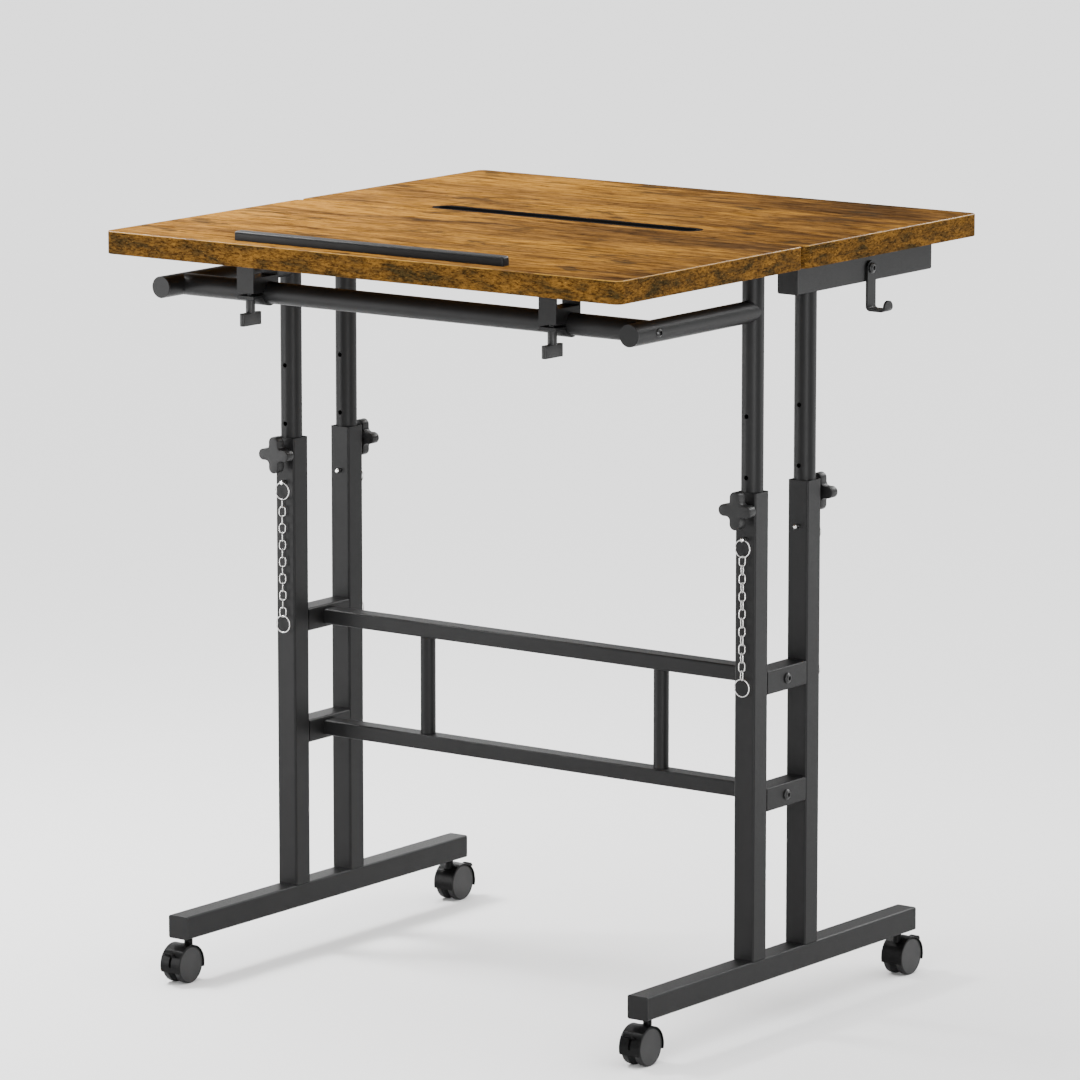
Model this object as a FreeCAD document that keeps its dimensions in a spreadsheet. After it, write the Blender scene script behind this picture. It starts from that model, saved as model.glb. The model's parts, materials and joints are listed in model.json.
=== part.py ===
import FreeCAD, Part
import math
import os
import re

import Sketcher

# Hand-adjusted sit-stand desk: two wood panels, each on a pair of telescopic legs, on a base with casters.
# Millimetres. Origin on the floor under the middle of the top, +X to the user's right, +Y away, +Z up.

# Driving dimensions: name, size, meaning
DIMENSIONS = [
    ("desk_width", 600.0, "length of both panels along X"),
    ("front_depth", 298.0, "front panel, front to back"),
    ("rear_depth", 300.0, "rear panel, front to back"),
    ("panel_gap", 2.0, "seam between the panels"),
    ("desk_height", 744.0, "floor to panel top at the setting shown"),
    ("board_thick", 22.0, "panel thickness"),
    ("board_corner", 8.0, "radius of the panels' upright corners"),
    ("board_ease", 1.0, "chamfer along the panels' top and bottom edges"),
    ("stop_length", 314.0, "edge stop on the front panel, along X"),
    ("stop_depth", 12.0, "edge stop, front to back"),
    ("stop_height", 9.0, "edge stop above the panel"),
    ("stop_inset", 17.0, "panel's front edge to the edge stop"),
    ("stop_round", 3.0, "rounding of the edge stop"),
    ("slot_length", 304.0, "opening of the slot in the rear panel"),
    ("slot_width", 16.0, "opening of the slot, front to back"),
    ("slot_depth", 15.0, "depth of the slot"),
    ("slot_setback", 33.0, "rear panel's front edge to the slot's middle"),
    ("liner_wall", 2.0, "wall and floor of the slot liner"),
    ("liner_rim", 6.0, "width of the liner's flush rim beyond its opening"),
    ("liner_rim_thick", 2.0, "thickness of the liner's rim"),
    ("leg_inset", 26.0, "panels' ends to the middle of the legs"),
    ("leg_pitch", 88.0, "front to rear legs, centre to centre"),
    ("base_centre", -4.0, "middle of the base along Y"),
    ("tube_size", 22.8, "square tube of feet, uprights and rungs"),
    ("tube_wall", 0.8, "wall of the square tube"),
    ("tube_corner", 2.0, "corner radius of the square tube"),
    ("caster_height", 43.8, "floor to underside of the feet"),
    ("foot_length", 456.0, "foot with its end plugs"),
    ("plug_cap", 2.0, "outside plate of a tube's end plug"),
    ("plug_depth", 6.0, "part of an end plug inside its tube"),
    ("plug_clearance", 0.1, "gap between a plug and its tube"),
    ("upright_length", 449.0, "upright above its foot"),
    ("upper_rung_height", 331.7, "floor to middle of the upper rungs"),
    ("lower_rung_height", 219.2, "floor to middle of the lower rungs"),
    ("crossbar_height", 15.0, "crossbar section, up"),
    ("crossbar_depth", 20.0, "crossbar section, front to back"),
    ("crossbar_wall", 1.0, "wall of the crossbars"),
    ("end_plate", 4.0, "threaded plate in a crossbar's end"),
    ("strut_spread", 280.0, "between the two round struts"),
    ("strut_diameter", 15.0, "round strut"),
    ("strut_wall", 1.0, "wall of the struts"),
    ("screw_diameter", 6.0, "frame screws and thumbscrews"),
    ("screw_clearance", 0.1, "gap round a screw or stud"),
    ("screw_head", 10.0, "button head, diameter"),
    ("screw_head_height", 2.8, "button head, height"),
    ("screw_socket", 4.0, "hexagon socket across its flats"),
    ("post_clearance", 0.1, "gap between a post and its upright"),
    ("post_wall", 1.0, "wall of posts, arms and cross tube"),
    ("post_tail", 20.0, "post below its lowest pin hole"),
    ("post_cap", 2.0, "cap on a front post, under the panel"),
    ("hole_pitch", 58.0, "pin hole to pin hole"),
    ("holes_above", 2.0, "pin holes above the pin"),
    ("holes_below", 4.0, "pin holes below the pin"),
    ("pin_drop", 44.0, "top of an upright to its pin"),
    ("pin_diameter", 4.0, "pull pin"),
    ("pin_clearance", 0.35, "gap round a pull pin"),
    ("pin_tip", 6.0, "pin past the far face of its upright"),
    ("pin_end", 2.0, "pin past the middle of its ring hole"),
    ("pin_eye", 1.8, "ring hole across the pin"),
    ("chain_offset", 4.4, "face of an upright to the chain's middle"),
    ("ring_diameter", 16.6, "chain ring, middle of its wire"),
    ("ring_wire", 1.0, "wire of the rings"),
    ("link_wire", 0.95, "wire of the links"),
    ("link_pitch", 8.4, "link to link"),
    ("link_width", 6.0, "link, middle of its wire"),
    ("link_gap", 0.15, "play between links"),
    ("link_count", 14.0, "links in a chain"),
    ("left_chain_angle", 126.0, "turn of a left chain's first link from its ring, degrees"),
    ("right_chain_angle", 54.0, "turn of a right chain's first link from its ring, degrees"),
    ("knob_drop", 15.0, "top of an upright to its knob"),
    ("knob_span", 36.3, "knob across its lobes"),
    ("knob_lobe", 11.2, "width of a lobe"),
    ("knob_thick", 10.2, "knob along its stud"),
    ("knob_standoff", 8.3, "face of an upright to the knob's back"),
    ("knob_corner", 4.2, "rounding between the lobes"),
    ("knob_ease", 0.8, "chamfer round the knob's face"),
    ("knob_hub", 9.0, "round hub behind the knob"),
    ("nut_flats", 8.0, "weld nut across its flats"),
    ("nut_height", 5.0, "weld nut"),
    ("stud_diameter", 5.0, "knob stud"),
    ("stud_gap", 0.1, "tip of a knob's stud to the post"),
    ("arm_drop", 36.0, "panel underside to the arms' axis"),
    ("cross_tube_inset", 85.0, "panel's front edge to the cross tube's axis"),
    ("arm_overhang", 33.5, "cross tube's axis to the arms' front ends"),
    ("tube_plug_length", 14.0, "threaded plug in the cross tube's end"),
    ("arm_screw_head", 8.0, "head of the screws in the arms"),
    ("clamp_inset", 123.0, "front panel's ends to the middle of the clamps"),
    ("clamp_width", 20.0, "clamp along X"),
    ("clamp_front", 26.0, "cross tube's axis to the clamp's front"),
    ("clamp_back", 12.8, "cross tube's axis to the clamp's back"),
    ("clamp_front_leg", 2.0, "thickness of the clamp's front leg"),
    ("clamp_saddle", 5.5, "metal above the cross tube"),
    ("clamp_back_leg", 2.0, "thickness of the clamp's back leg"),
    ("clamp_top", 3.0, "plate under the panel"),
    ("clamp_jaw", 2.0, "metal below the cross tube"),
    ("clamp_split", 2.8, "gap between bracket and strap in front"),
    ("clamp_flange", 3.1, "front and back flanges of the strap"),
    ("hinge_clearance", 0.1, "gap between a clamp and the cross tube"),
    ("wood_screw", 4.0, "wood screw shank"),
    ("wood_screw_head", 7.5, "wood screw head"),
    ("wood_screw_bite", 13.0, "wood screw inside a panel"),
    ("wood_screw_spread", 11.0, "between the two screws of a clamp"),
    ("thumb_setback", 8.0, "clamp's front to the thumbscrew's axis"),
    ("thumb_stem", 9.0, "thumbscrew stem, diameter"),
    ("thumb_stem_length", 13.3, "thumbscrew stem"),
    ("thumb_grip", 27.0, "thumbscrew wing, length"),
    ("thumb_height", 12.2, "thumbscrew wing, height"),
    ("thumb_thick", 5.6, "thumbscrew wing, thickness"),
    ("thumb_angle", 78.0, "direction of the wing from X"),
    ("bar_height", 27.0, "rear bar section, up"),
    ("bar_wall", 1.0, "wall of the rear bars"),
    ("bar_length", 231.0, "rear bar with its plugs"),
    ("bar_setback", 9.0, "rear panel's front edge to the bars"),
    ("bar_screw_margin", 26.0, "end of a bar to its panel screw"),
    ("hook_width", 14.0, "headphone hook strip"),
    ("hook_thick", 2.4, "headphone hook strip"),
    ("hook_setback", 132.0, "rear panel's front edge to the hook"),
    ("hook_screw_drop", 14.0, "panel underside to the hook's screw"),
    ("hook_drop", 55.0, "panel underside to the hook's lowest face"),
    ("hook_reach", 22.0, "bar to the hook's tip"),
    ("hook_lip", 11.0, "height of the upturned tip"),
    ("hook_bend", 5.0, "outside radius of the hook's bends"),
    ("wheel_diameter", 36.5, "caster wheel"),
    ("wheel_width", 7.0, "caster wheel"),
    ("wheel_bevel", 1.6, "bevel of a wheel's rim"),
    ("caster_width", 22.0, "over both wheels"),
    ("caster_trail", 9.5, "stem to axle"),
    ("caster_inset", 16.0, "end of a foot to the caster's stem"),
    ("hood_gap", 0.35, "wheel to hood"),
    ("hood_thick", 1.2, "hood shell"),
    ("hood_lip", 0.7, "hood beyond a wheel's outer face"),
    ("hood_round", 4.0, "round corners at the hood's ends"),
    ("hood_front_angle", -17.0, "front edge of the hood above the axle, degrees"),
    ("hood_rear_angle", 194.0, "rear edge of the hood, degrees from the front"),
    ("slot_low_angle", -2.0, "lower end of the hood's slot, degrees"),
    ("slot_high_angle", 38.0, "upper end of the hood's slot, degrees"),
    ("lever_angle", 32.0, "brake lever above the axle, degrees"),
    ("lever_width", 12.0, "brake lever along the axle"),
    ("lever_reach", 8.0, "brake lever beyond the hood"),
    ("lever_thick", 2.2, "brake lever"),
    ("lever_gap", 0.4, "hood to the lever's blade"),
    ("tongue_thick", 1.8, "tongue of the brake lever"),
    ("web_gap", 0.15, "gap beside webs and tongues"),
    ("web_reach", 5.5, "web beyond axle and stem"),
    ("axle_diameter", 4.0, "caster axle"),
    ("axle_clearance", 0.05, "gap round an axle"),
    ("stem_diameter", 8.0, "caster stem in the foot"),
    ("stem_shank", 5.6, "caster stem in the hood"),
    ("stem_length", 14.0, "caster stem above the foot's underside"),
    ("stem_nut", 13.0, "weld nut for a stem, across its flats"),
    ("stem_nut_height", 6.5, "weld nut for a stem"),
]

DOCUMENT = FreeCAD.newDocument("Desk")
SHEET = DOCUMENT.addObject("Spreadsheet::Sheet", "Dims")
for row_number, (alias, size, meaning) in enumerate(DIMENSIONS, start=1):
    SHEET.set(f"A{row_number}", meaning)
    SHEET.set(f"B{row_number}", str(size))
    SHEET.setAlias(f"B{row_number}", alias)
DOCUMENT.recompute()

ALIASES = {alias for alias, _, _ in DIMENSIONS}
NODES = []
VECTOR = FreeCAD.Vector
SIDES = {"left": -1, "right": 1}
OUTWARD = {"front": -1, "rear": 1}
HEXAGON = 6
FULL_TURN = 360.0
LEG_SPOT = SHEET.desk_width / 2 - SHEET.leg_inset

# Shares of a size, and how near two places or directions are when they count as one
HEAD_FLAT = 0.28
HEAD_RIM = 0.45
SOCKET_FLOOR = 0.4
SEAT_BITE = 0.8
WING_LEAD = 0.8
WING_ROUND = 0.45
ROUND_END = 0.48
PIN_POINT = 0.6
PIN_BUTT = 0.5
SAME_PLACE = 0.01
PARALLEL = 0.999

# Places that several pieces share, as formulas of the driving dimensions
LEG_X = "(desk_width / 2 - leg_inset)"
CLAMP_X = "(desk_width / 2 - clamp_inset)"
FOOT_TOP = "(caster_height + tube_size)"
UPRIGHT_TOP = f"({FOOT_TOP} + upright_length)"
PIN_Z = f"({UPRIGHT_TOP} - pin_drop)"
KNOB_Z = f"({UPRIGHT_TOP} - knob_drop)"
BOARD_BOTTOM = "(desk_height - board_thick)"
ARM_Z = f"({BOARD_BOTTOM} - arm_drop)"
FRONT_EDGE = "(-panel_gap - front_depth)"
CROSS_Y = f"({FRONT_EDGE} + cross_tube_inset)"
POST_DIAMETER = "(tube_size - 2 * tube_wall - 2 * post_clearance)"
POST_RADIUS = f"({POST_DIAMETER} / 2)"
ARM_SEAT = f"({LEG_X} + {POST_RADIUS} - {SEAT_BITE} * post_wall)"
POST_BOTTOM = f"({PIN_Z} - holes_below * hole_pitch - post_tail)"
BAR_BOTTOM = f"({BOARD_BOTTOM} - bar_height)"
BAR_FACE = f"({LEG_X} + tube_size / 2)"
SCREW_HOLE = "(screw_diameter / 2 + screw_clearance)"
STUD_HOLE = "(stud_diameter / 2 + screw_clearance)"
STRAP_TOP = f"({ARM_Z} - clamp_split / 2)"
STRAP_BOTTOM = f"({STRAP_TOP} - clamp_flange)"
THUMB_Y = f"({CROSS_Y} - clamp_front + thumb_setback)"
SLOT_FLOOR = "(desk_height - slot_depth)"
WHEEL_RADIUS = "(wheel_diameter / 2)"
HOOD_INSIDE = f"({WHEEL_RADIUS} + hood_gap)"
HOOD_OUTSIDE = f"({HOOD_INSIDE} + hood_thick)"
HOOD_WIDTH = "(caster_width + 2 * hood_lip)"
WEB_WIDTH = "(caster_width - 2 * wheel_width - 2 * web_gap)"
LEG_Y = {
    "front": "(base_centre - leg_pitch / 2)",
    "rear": "(base_centre + leg_pitch / 2)",
}

# Rotations that point a piece's own Z along an axis of the desk
POINTING = {
    "z": FreeCAD.Rotation(),
    "x": FreeCAD.Rotation(VECTOR(0, 1, 0), 90),
    "-x": FreeCAD.Rotation(VECTOR(0, 1, 0), -90),
    "y": FreeCAD.Rotation(VECTOR(1, 0, 0), -90),
    "-y": FreeCAD.Rotation(VECTOR(1, 0, 0), 90),
}


# Helpers: formulas, placing and basic solids


def formula(text):
    """Give the formula with each dimension's name pointing at its cell."""
    def cell(found):
        word = found.group()
        return f"Dims.{word}" if word in ALIASES else word

    return re.sub(r"[a-z][a-z_]*[a-z]", cell, str(text))


def bind(item, **formulas):
    """Tie properties of an object to formulas."""
    for name, text in formulas.items():
        item.setExpression(name, formula(text))


def place(item, at, rotation=None):
    """Put an object at a point given as three formulas."""
    item.Placement = FreeCAD.Placement(VECTOR(), rotation or FreeCAD.Rotation())
    for axis, text in zip("xyz", at):
        item.setExpression(f"Placement.Base.{axis}", formula(text))
    return item


def along(side, text):
    """Give a formula measured to the left or right of the middle."""
    return f"{SIDES[side]} * ({text})"


def out_from_face(row, text):
    """Give the Y of a point outside the outer face of a row's uprights."""
    return f"{LEG_Y[row]} + {OUTWARD[row]} * (tube_size / 2 + {text})"


def outward_axis(row):
    """Give the direction that faces away from the desk at a row of legs."""
    return "-y" if row == "front" else "y"


def box(name, size, low):
    """Make a box from its size and its lowest corner."""
    item = DOCUMENT.addObject("Part::Box", name)
    bind(item, Length=size[0], Width=size[1], Height=size[2])
    return place(item, low)


def rod(name, radius, length, start, axis="z"):
    """Make a round bar from a start point along an axis."""
    item = DOCUMENT.addObject("Part::Cylinder", name)
    bind(item, Radius=radius, Height=length)
    return place(item, start, POINTING[axis])


def hexagon_bar(name, flats, length, start, axis="z"):
    """Make a six-sided bar from its width across flats."""
    item = DOCUMENT.addObject("Part::Prism", name)
    item.Polygon = HEXAGON
    bind(item, Circumradius=f"({flats}) / 3 ^ 0.5", Height=length)
    return place(item, start, POINTING[axis])


def group(name, pieces):
    """Hold several solids together as one object."""
    item = DOCUMENT.addObject("Part::Compound", name)
    item.Links = pieces
    return item


def cut(name, base, tools):
    """Take the tools away from a base."""
    item = DOCUMENT.addObject("Part::Cut", name)
    item.Base = base
    item.Tool = tools[0] if len(tools) == 1 else group(f"{name}_tools", tools)
    return item


def fuse(name, pieces):
    """Join pieces into one solid."""
    item = DOCUMENT.addObject("Part::MultiFuse", name)
    item.Shapes = pieces
    item.Refine = True
    return item


def common(name, base, tool):
    """Keep what two pieces share."""
    item = DOCUMENT.addObject("Part::Common", name)
    item.Base = base
    item.Tool = tool
    return item


def node(item, name):
    """Name a finished sub-part and list it for writing."""
    item.Label = name
    NODES.append(item)
    return item


# Helpers: bodies drawn as outlines


def add_outline(body, plane, loops):
    """Draw closed outlines on one of a body's planes, each corner tied to two formulas."""
    sketch = body.newObject("Sketcher::SketchObject", f"{body.Name}_outline")
    support = [item for item in body.Origin.OriginFeatures if item.Role == plane]
    sketch.AttachmentSupport = [(support[0], "")]
    sketch.MapMode = "FlatFace"
    for corners in loops:
        first = sketch.GeometryCount
        count = len(corners)
        for index in range(count):
            turn = 2 * math.pi * index / count
            step = 2 * math.pi * (index + 1) / count
            start = VECTOR(math.cos(turn), math.sin(turn), 0)
            end = VECTOR(math.cos(step), math.sin(step), 0)
            sketch.addGeometry(Part.LineSegment(start, end), False)
        for index in range(count):
            following = first + (index + 1) % count
            sketch.addConstraint(Sketcher.Constraint("Coincident", first + index, 2, following, 1))
        for index, corner in enumerate(corners):
            for kind, text in zip(("DistanceX", "DistanceY"), corner):
                line = first + index
                number = sketch.addConstraint(Sketcher.Constraint(kind, -1, 1, line, 1, 1.0))
                label = f"{kind}{line}"
                sketch.renameConstraint(number, label)
                sketch.setExpression(f"Constraints.{label}", formula(text))
    return sketch


def padded_body(name, plane, loops, depth, midplane=False):
    """Make a body by padding outlines."""
    body = DOCUMENT.addObject("PartDesign::Body", name)
    pad = body.newObject("PartDesign::Pad", f"{name}_pad")
    pad.Profile = add_outline(body, plane, loops)
    pad.Midplane = midplane
    bind(pad, Length=depth)
    body.Tip = pad
    DOCUMENT.recompute()
    return body


def turned_body(name, corners):
    """Make a body by turning an outline about its X axis."""
    body = DOCUMENT.addObject("PartDesign::Body", name)
    turn = body.newObject("PartDesign::Revolution", f"{name}_turn")
    sketch = add_outline(body, "XY_Plane", [corners])
    turn.Profile = sketch
    turn.ReferenceAxis = (sketch, ["H_Axis"])
    turn.Angle = FULL_TURN
    body.Tip = turn
    DOCUMENT.recompute()
    return body


def edge_names(body, wanted):
    """List the edges of a body's last feature that pass a test."""
    edges = enumerate(body.Tip.Shape.Edges, start=1)
    return [f"Edge{number}" for number, edge in edges if wanted(edge)]


def dress(body, kind, size, wanted):
    """Fillet or chamfer the edges of a body that pass a test."""
    names = edge_names(body, wanted)
    base = body.Tip
    feature = body.newObject(f"PartDesign::{kind}", f"{base.Name}_{kind}")
    feature.Base = (base, names)
    bind(feature, **{"Radius" if kind == "Fillet" else "Size": size})
    body.Tip = feature
    DOCUMENT.recompute()


def runs_along(edge, axis):
    """Tell whether an edge is straight along one of a body's axes."""
    if not isinstance(edge.Curve, Part.Line):
        return False
    return abs(edge.Curve.Direction.dot(axis)) > PARALLEL


def rectangle(width, height):
    """Give the corners of a rectangle about the origin."""
    half_width, half_height = f"({width}) / 2", f"({height}) / 2"
    return [
        (f"-{half_width}", f"-{half_height}"),
        (half_width, f"-{half_height}"),
        (half_width, half_height),
        (f"-{half_width}", half_height),
    ]


def square_tube(name, section, wall, length, start, axis):
    """Make a rectangular tube with rounded outer corners."""
    width, height = section
    bore = rectangle(f"{width} - 2 * {wall}", f"{height} - 2 * {wall}")
    body = padded_body(name, "XY_Plane", [rectangle(width, height), bore], length)
    edges = [edge for edge in body.Tip.Shape.Edges if runs_along(edge, VECTOR(0, 0, 1))]
    reach = max(abs(edge.CenterOfMass.x) for edge in edges)

    def outer(edge):
        return runs_along(edge, VECTOR(0, 0, 1)) and abs(abs(edge.CenterOfMass.x) - reach) < 1e-6

    dress(body, "Fillet", "tube_corner", outer)
    return place(body, start, POINTING[axis])


def round_tube(name, radius, wall, length, start, axis):
    """Make a round tube."""
    outside = rod(f"{name}_outside", radius, length, start, axis)
    inside = rod(f"{name}_inside", f"{radius} - {wall}", length, start, axis)
    return cut(name, outside, [inside])


def end_plug(name, section, wall, start, axis):
    """Make an end plug: a plate flush with a tube's outside and a stub inside it."""
    width, height = section
    plate = padded_body(f"{name}_plate", "XY_Plane", [rectangle(width, height)], "plug_cap")
    dress(plate, "Fillet", "tube_corner", lambda edge: runs_along(edge, VECTOR(0, 0, 1)))
    spare = f"2 * {wall} - 2 * plug_clearance"
    inside = rectangle(f"{width} - {spare}", f"{height} - {spare}")
    stub = padded_body(f"{name}_stub", "XY_Plane", [inside], "plug_cap + plug_depth")
    return place(fuse(name, [plate, stub]), start, POINTING[axis])


def button_screw(name, head, length, start, axis):
    """Make a socket button screw whose head stands on a face, seen along the axis."""
    height = "screw_head_height"
    body = turned_body(
        f"{name}_turned",
        [
            (f"-({length})", "0"),
            (height, "0"),
            (height, f"{head} * {HEAD_FLAT}"),
            (f"{height} * {HEAD_RIM}", f"{head} / 2"),
            ("0", f"{head} / 2"),
            ("0", "screw_diameter / 2"),
            (f"-({length})", "screw_diameter / 2"),
        ],
    )
    socket_start = (f"{height} * {SOCKET_FLOOR}", 0, 0)
    socket = hexagon_bar(f"{name}_socket", "screw_socket", height, socket_start, "x")
    turn = FreeCAD.Rotation(VECTOR(1, 0, 0), POINTING[axis].multVec(VECTOR(0, 0, 1)))
    return place(cut(name, body, [socket]), start, turn)


def wood_screw(name, head_height, grip, start):
    """Make a wood screw that points up, its head under a plate of the given thickness."""
    head = rod(f"{name}_head", "wood_screw_head / 2", head_height, start)
    shank_start = (start[0], start[1], f"{start[2]} + {head_height}")
    shank = rod(f"{name}_shank", "wood_screw / 2", f"{grip} + wood_screw_bite", shank_start)
    return fuse(name, [head, shank])


def oblong(name, length, width, height, centre):
    """Make a round-ended block, long in X, from the middle of its underside."""
    x, y, z = centre
    radius, reach = f"({width}) / 2", f"(({length}) - ({width})) / 2"
    middle = box(f"{name}_middle", (f"2 * {reach}", width, height), (f"{x} - {reach}", f"{y} - {radius}", z))
    ends = [
        rod(f"{name}_{side}_end", radius, height, (f"{x} + {along(side, reach)}", y, z))
        for side in SIDES
    ]
    return fuse(name, [middle] + ends)


# Base frame


def make_foot(side):
    """Make a foot tube with its two stem nuts; the stems pass its underside."""
    x = along(side, LEG_X)
    start = (x, "base_centre - foot_length / 2 + plug_cap", "caster_height + tube_size / 2")
    tube = square_tube(
        f"{side}_foot_tube", ("tube_size", "tube_size"), "tube_wall", "foot_length - 2 * plug_cap", start, "y"
    )
    holes, nuts = [], []
    for row, outward in OUTWARD.items():
        y = f"base_centre + {outward} * (foot_length / 2 - caster_inset)"
        hole_radius = "stem_diameter / 2 + axle_clearance"
        holes.append(rod(f"{side}_{row}_stem_hole", hole_radius, "tube_size / 2", (x, y, "caster_height")))
        seat = (x, y, "caster_height + tube_wall")
        blank = hexagon_bar(f"{side}_{row}_nut_blank", "stem_nut", "stem_nut_height", seat)
        bore = rod(f"{side}_{row}_nut_bore", hole_radius, "stem_nut_height", seat)
        nuts.append(cut(f"{side}_{row}_stem_nut", blank, [bore]))
    drilled = cut(f"{side}_foot_drilled", tube, holes)
    node(group(f"{side}_foot", [drilled] + nuts), f"{side}_foot")


def make_foot_plugs():
    """Close the four ends of the feet."""
    plugs = []
    for side in SIDES:
        for row, outward in OUTWARD.items():
            y = f"base_centre + {outward} * foot_length / 2"
            start = (along(side, LEG_X), y, "caster_height + tube_size / 2")
            section = ("tube_size", "tube_size")
            inward = "y" if row == "front" else "-y"
            plugs.append(end_plug(f"{side}_{row}_foot_plug", section, "tube_wall", start, inward))
    node(group("foot_end_plugs", plugs), "foot_end_plugs")


def make_upright(row, side):
    """Make an upright with its pin hole right through and its knob hole in the outer wall."""
    x, y = along(side, LEG_X), LEG_Y[row]
    name = f"{row}_{side}_upright"
    tube = square_tube(
        f"{name}_tube", ("tube_size", "tube_size"), "tube_wall", "upright_length", (x, y, FOOT_TOP), "z"
    )
    pin_start = (x, f"{y} - tube_size", PIN_Z)
    pin_hole = rod(f"{name}_pin_hole", "pin_diameter / 2 + pin_clearance", "2 * tube_size", pin_start, "y")
    knob_hole = rod(f"{name}_knob_hole", STUD_HOLE, "tube_size", (x, y, KNOB_Z), outward_axis(row))
    node(cut(name, tube, [pin_hole, knob_hole]), name)


def make_knob_nuts():
    """Weld a nut over each knob hole."""
    nuts = []
    for row in OUTWARD:
        for side in SIDES:
            start = (along(side, LEG_X), out_from_face(row, "0"), KNOB_Z)
            name = f"{row}_{side}_knob_nut"
            blank = hexagon_bar(f"{name}_blank", "nut_flats", "nut_height", start, outward_axis(row))
            bore = rod(f"{name}_bore", STUD_HOLE, "nut_height", start, outward_axis(row))
            nuts.append(cut(name, blank, [bore]))
    node(group("knob_nuts", nuts), "knob_nuts")


RUNG_HEIGHTS = {"upper": "upper_rung_height", "lower": "lower_rung_height"}


def make_rungs():
    """Make the four rungs that tie the front uprights to the rear ones."""
    rungs = []
    for side in SIDES:
        for level, height in RUNG_HEIGHTS.items():
            x = along(side, LEG_X)
            name = f"{side}_{level}_rung"
            start = (x, f"{LEG_Y['front']} + tube_size / 2", height)
            tube = square_tube(
                f"{name}_tube", ("tube_size", "tube_size"), "tube_wall", "leg_pitch - tube_size", start, "y"
            )
            hole_start = (f"{x} - tube_size", "base_centre", height)
            hole = rod(f"{name}_hole", SCREW_HOLE, "2 * tube_size", hole_start, "x")
            rungs.append(cut(name, tube, [hole]))
    node(group("side_rungs", rungs), "side_rungs")


def make_crossbar(level):
    """Make a crossbar between the rungs, closed by a threaded plate at each end."""
    height = RUNG_HEIGHTS[level]
    length = f"(2 * {LEG_X} - tube_size)"
    start = (f"-{length} / 2", "base_centre", height)
    name = f"{level}_crossbar"
    tube = square_tube(
        f"{name}_tube", ("crossbar_height", "crossbar_depth"), "crossbar_wall", length, start, "x"
    )
    plates = []
    inside = ("end_plate", "crossbar_depth - 2 * crossbar_wall", "crossbar_height - 2 * crossbar_wall")
    for side in SIDES:
        low_x = f"{along(side, f'{length} / 2 - end_plate / 2')} - end_plate / 2"
        low = (low_x, f"base_centre - ({inside[1]}) / 2", f"{height} - ({inside[2]}) / 2")
        plates.append(box(f"{name}_{side}_plate", inside, low))
    closed = fuse(f"{name}_closed", [tube] + plates)
    hole = rod(f"{name}_hole", SCREW_HOLE, length, start, "x")
    node(cut(name, closed, [hole]), name)


def make_struts():
    """Make the two round struts between the crossbars."""
    struts = []
    for side in SIDES:
        start = (along(side, "strut_spread / 2"), "base_centre", "lower_rung_height + crossbar_height / 2")
        length = "upper_rung_height - lower_rung_height - crossbar_height"
        struts.append(round_tube(f"{side}_strut", "strut_diameter / 2", "strut_wall", length, start, "z"))
    node(group("crossbar_struts", struts), "crossbar_struts")


def make_crossbar_screws():
    """Make the four screws that go through the rungs into the crossbars."""
    screws = []
    for side in SIDES:
        for level, height in RUNG_HEIGHTS.items():
            start = (along(side, BAR_FACE), "base_centre", height)
            axis = "x" if side == "right" else "-x"
            name = f"{side}_{level}_screw"
            screws.append(button_screw(name, "screw_head", "tube_size + 2 * end_plate", start, axis))
    node(group("crossbar_screws", screws), "crossbar_screws")


# Front height carriage


def drilled_post(name, row, side, top):
    """Make a post with its row of pin holes; the pin is in one of them."""
    x, y = along(side, LEG_X), LEG_Y[row]
    tube = round_tube(
        f"{name}_tube", POST_RADIUS, "post_wall", f"{top} - {POST_BOTTOM}", (x, y, POST_BOTTOM), "z"
    )
    holes = []
    for step in range(-int(SHEET.holes_below), int(SHEET.holes_above) + 1):
        start = (x, f"{y} - tube_size", f"{PIN_Z} + {step} * hole_pitch")
        radius = "pin_diameter / 2 + pin_clearance"
        holes.append(rod(f"{name}_hole_{step + int(SHEET.holes_below)}", radius, "2 * tube_size", start, "y"))
    return cut(name, tube, holes)


def make_front_post(side):
    """Make a front post, up to the cap under the panel."""
    name = f"front_{side}_post"
    node(drilled_post(name, "front", side, f"({BOARD_BOTTOM} - post_cap)"), name)


def make_arm(side):
    """Make an arm from its front cap back to the post, shaped round the post's tube."""
    x = along(side, LEG_X)
    name = f"{side}_arm"
    front = f"({CROSS_Y} - arm_overhang + plug_cap)"
    tube = round_tube(
        f"{name}_tube", POST_RADIUS, "post_wall", f"{LEG_Y['front']} - {front}", (x, front, ARM_Z), "y"
    )
    post = rod(f"{name}_cope", POST_RADIUS, "4 * tube_size", (x, LEG_Y["front"], f"{ARM_Z} - 2 * tube_size"))
    hole_start = (f"{x} - tube_size", CROSS_Y, ARM_Z)
    hole = rod(f"{name}_hole", SCREW_HOLE, "2 * tube_size", hole_start, "x")
    seat_start = (along(side, ARM_SEAT), CROSS_Y, ARM_Z)
    axis = "x" if side == "right" else "-x"
    seat = rod(f"{name}_seat", "arm_screw_head / 2 + screw_clearance", "tube_size", seat_start, axis)
    node(cut(name, tube, [post, hole, seat]), name)


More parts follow.
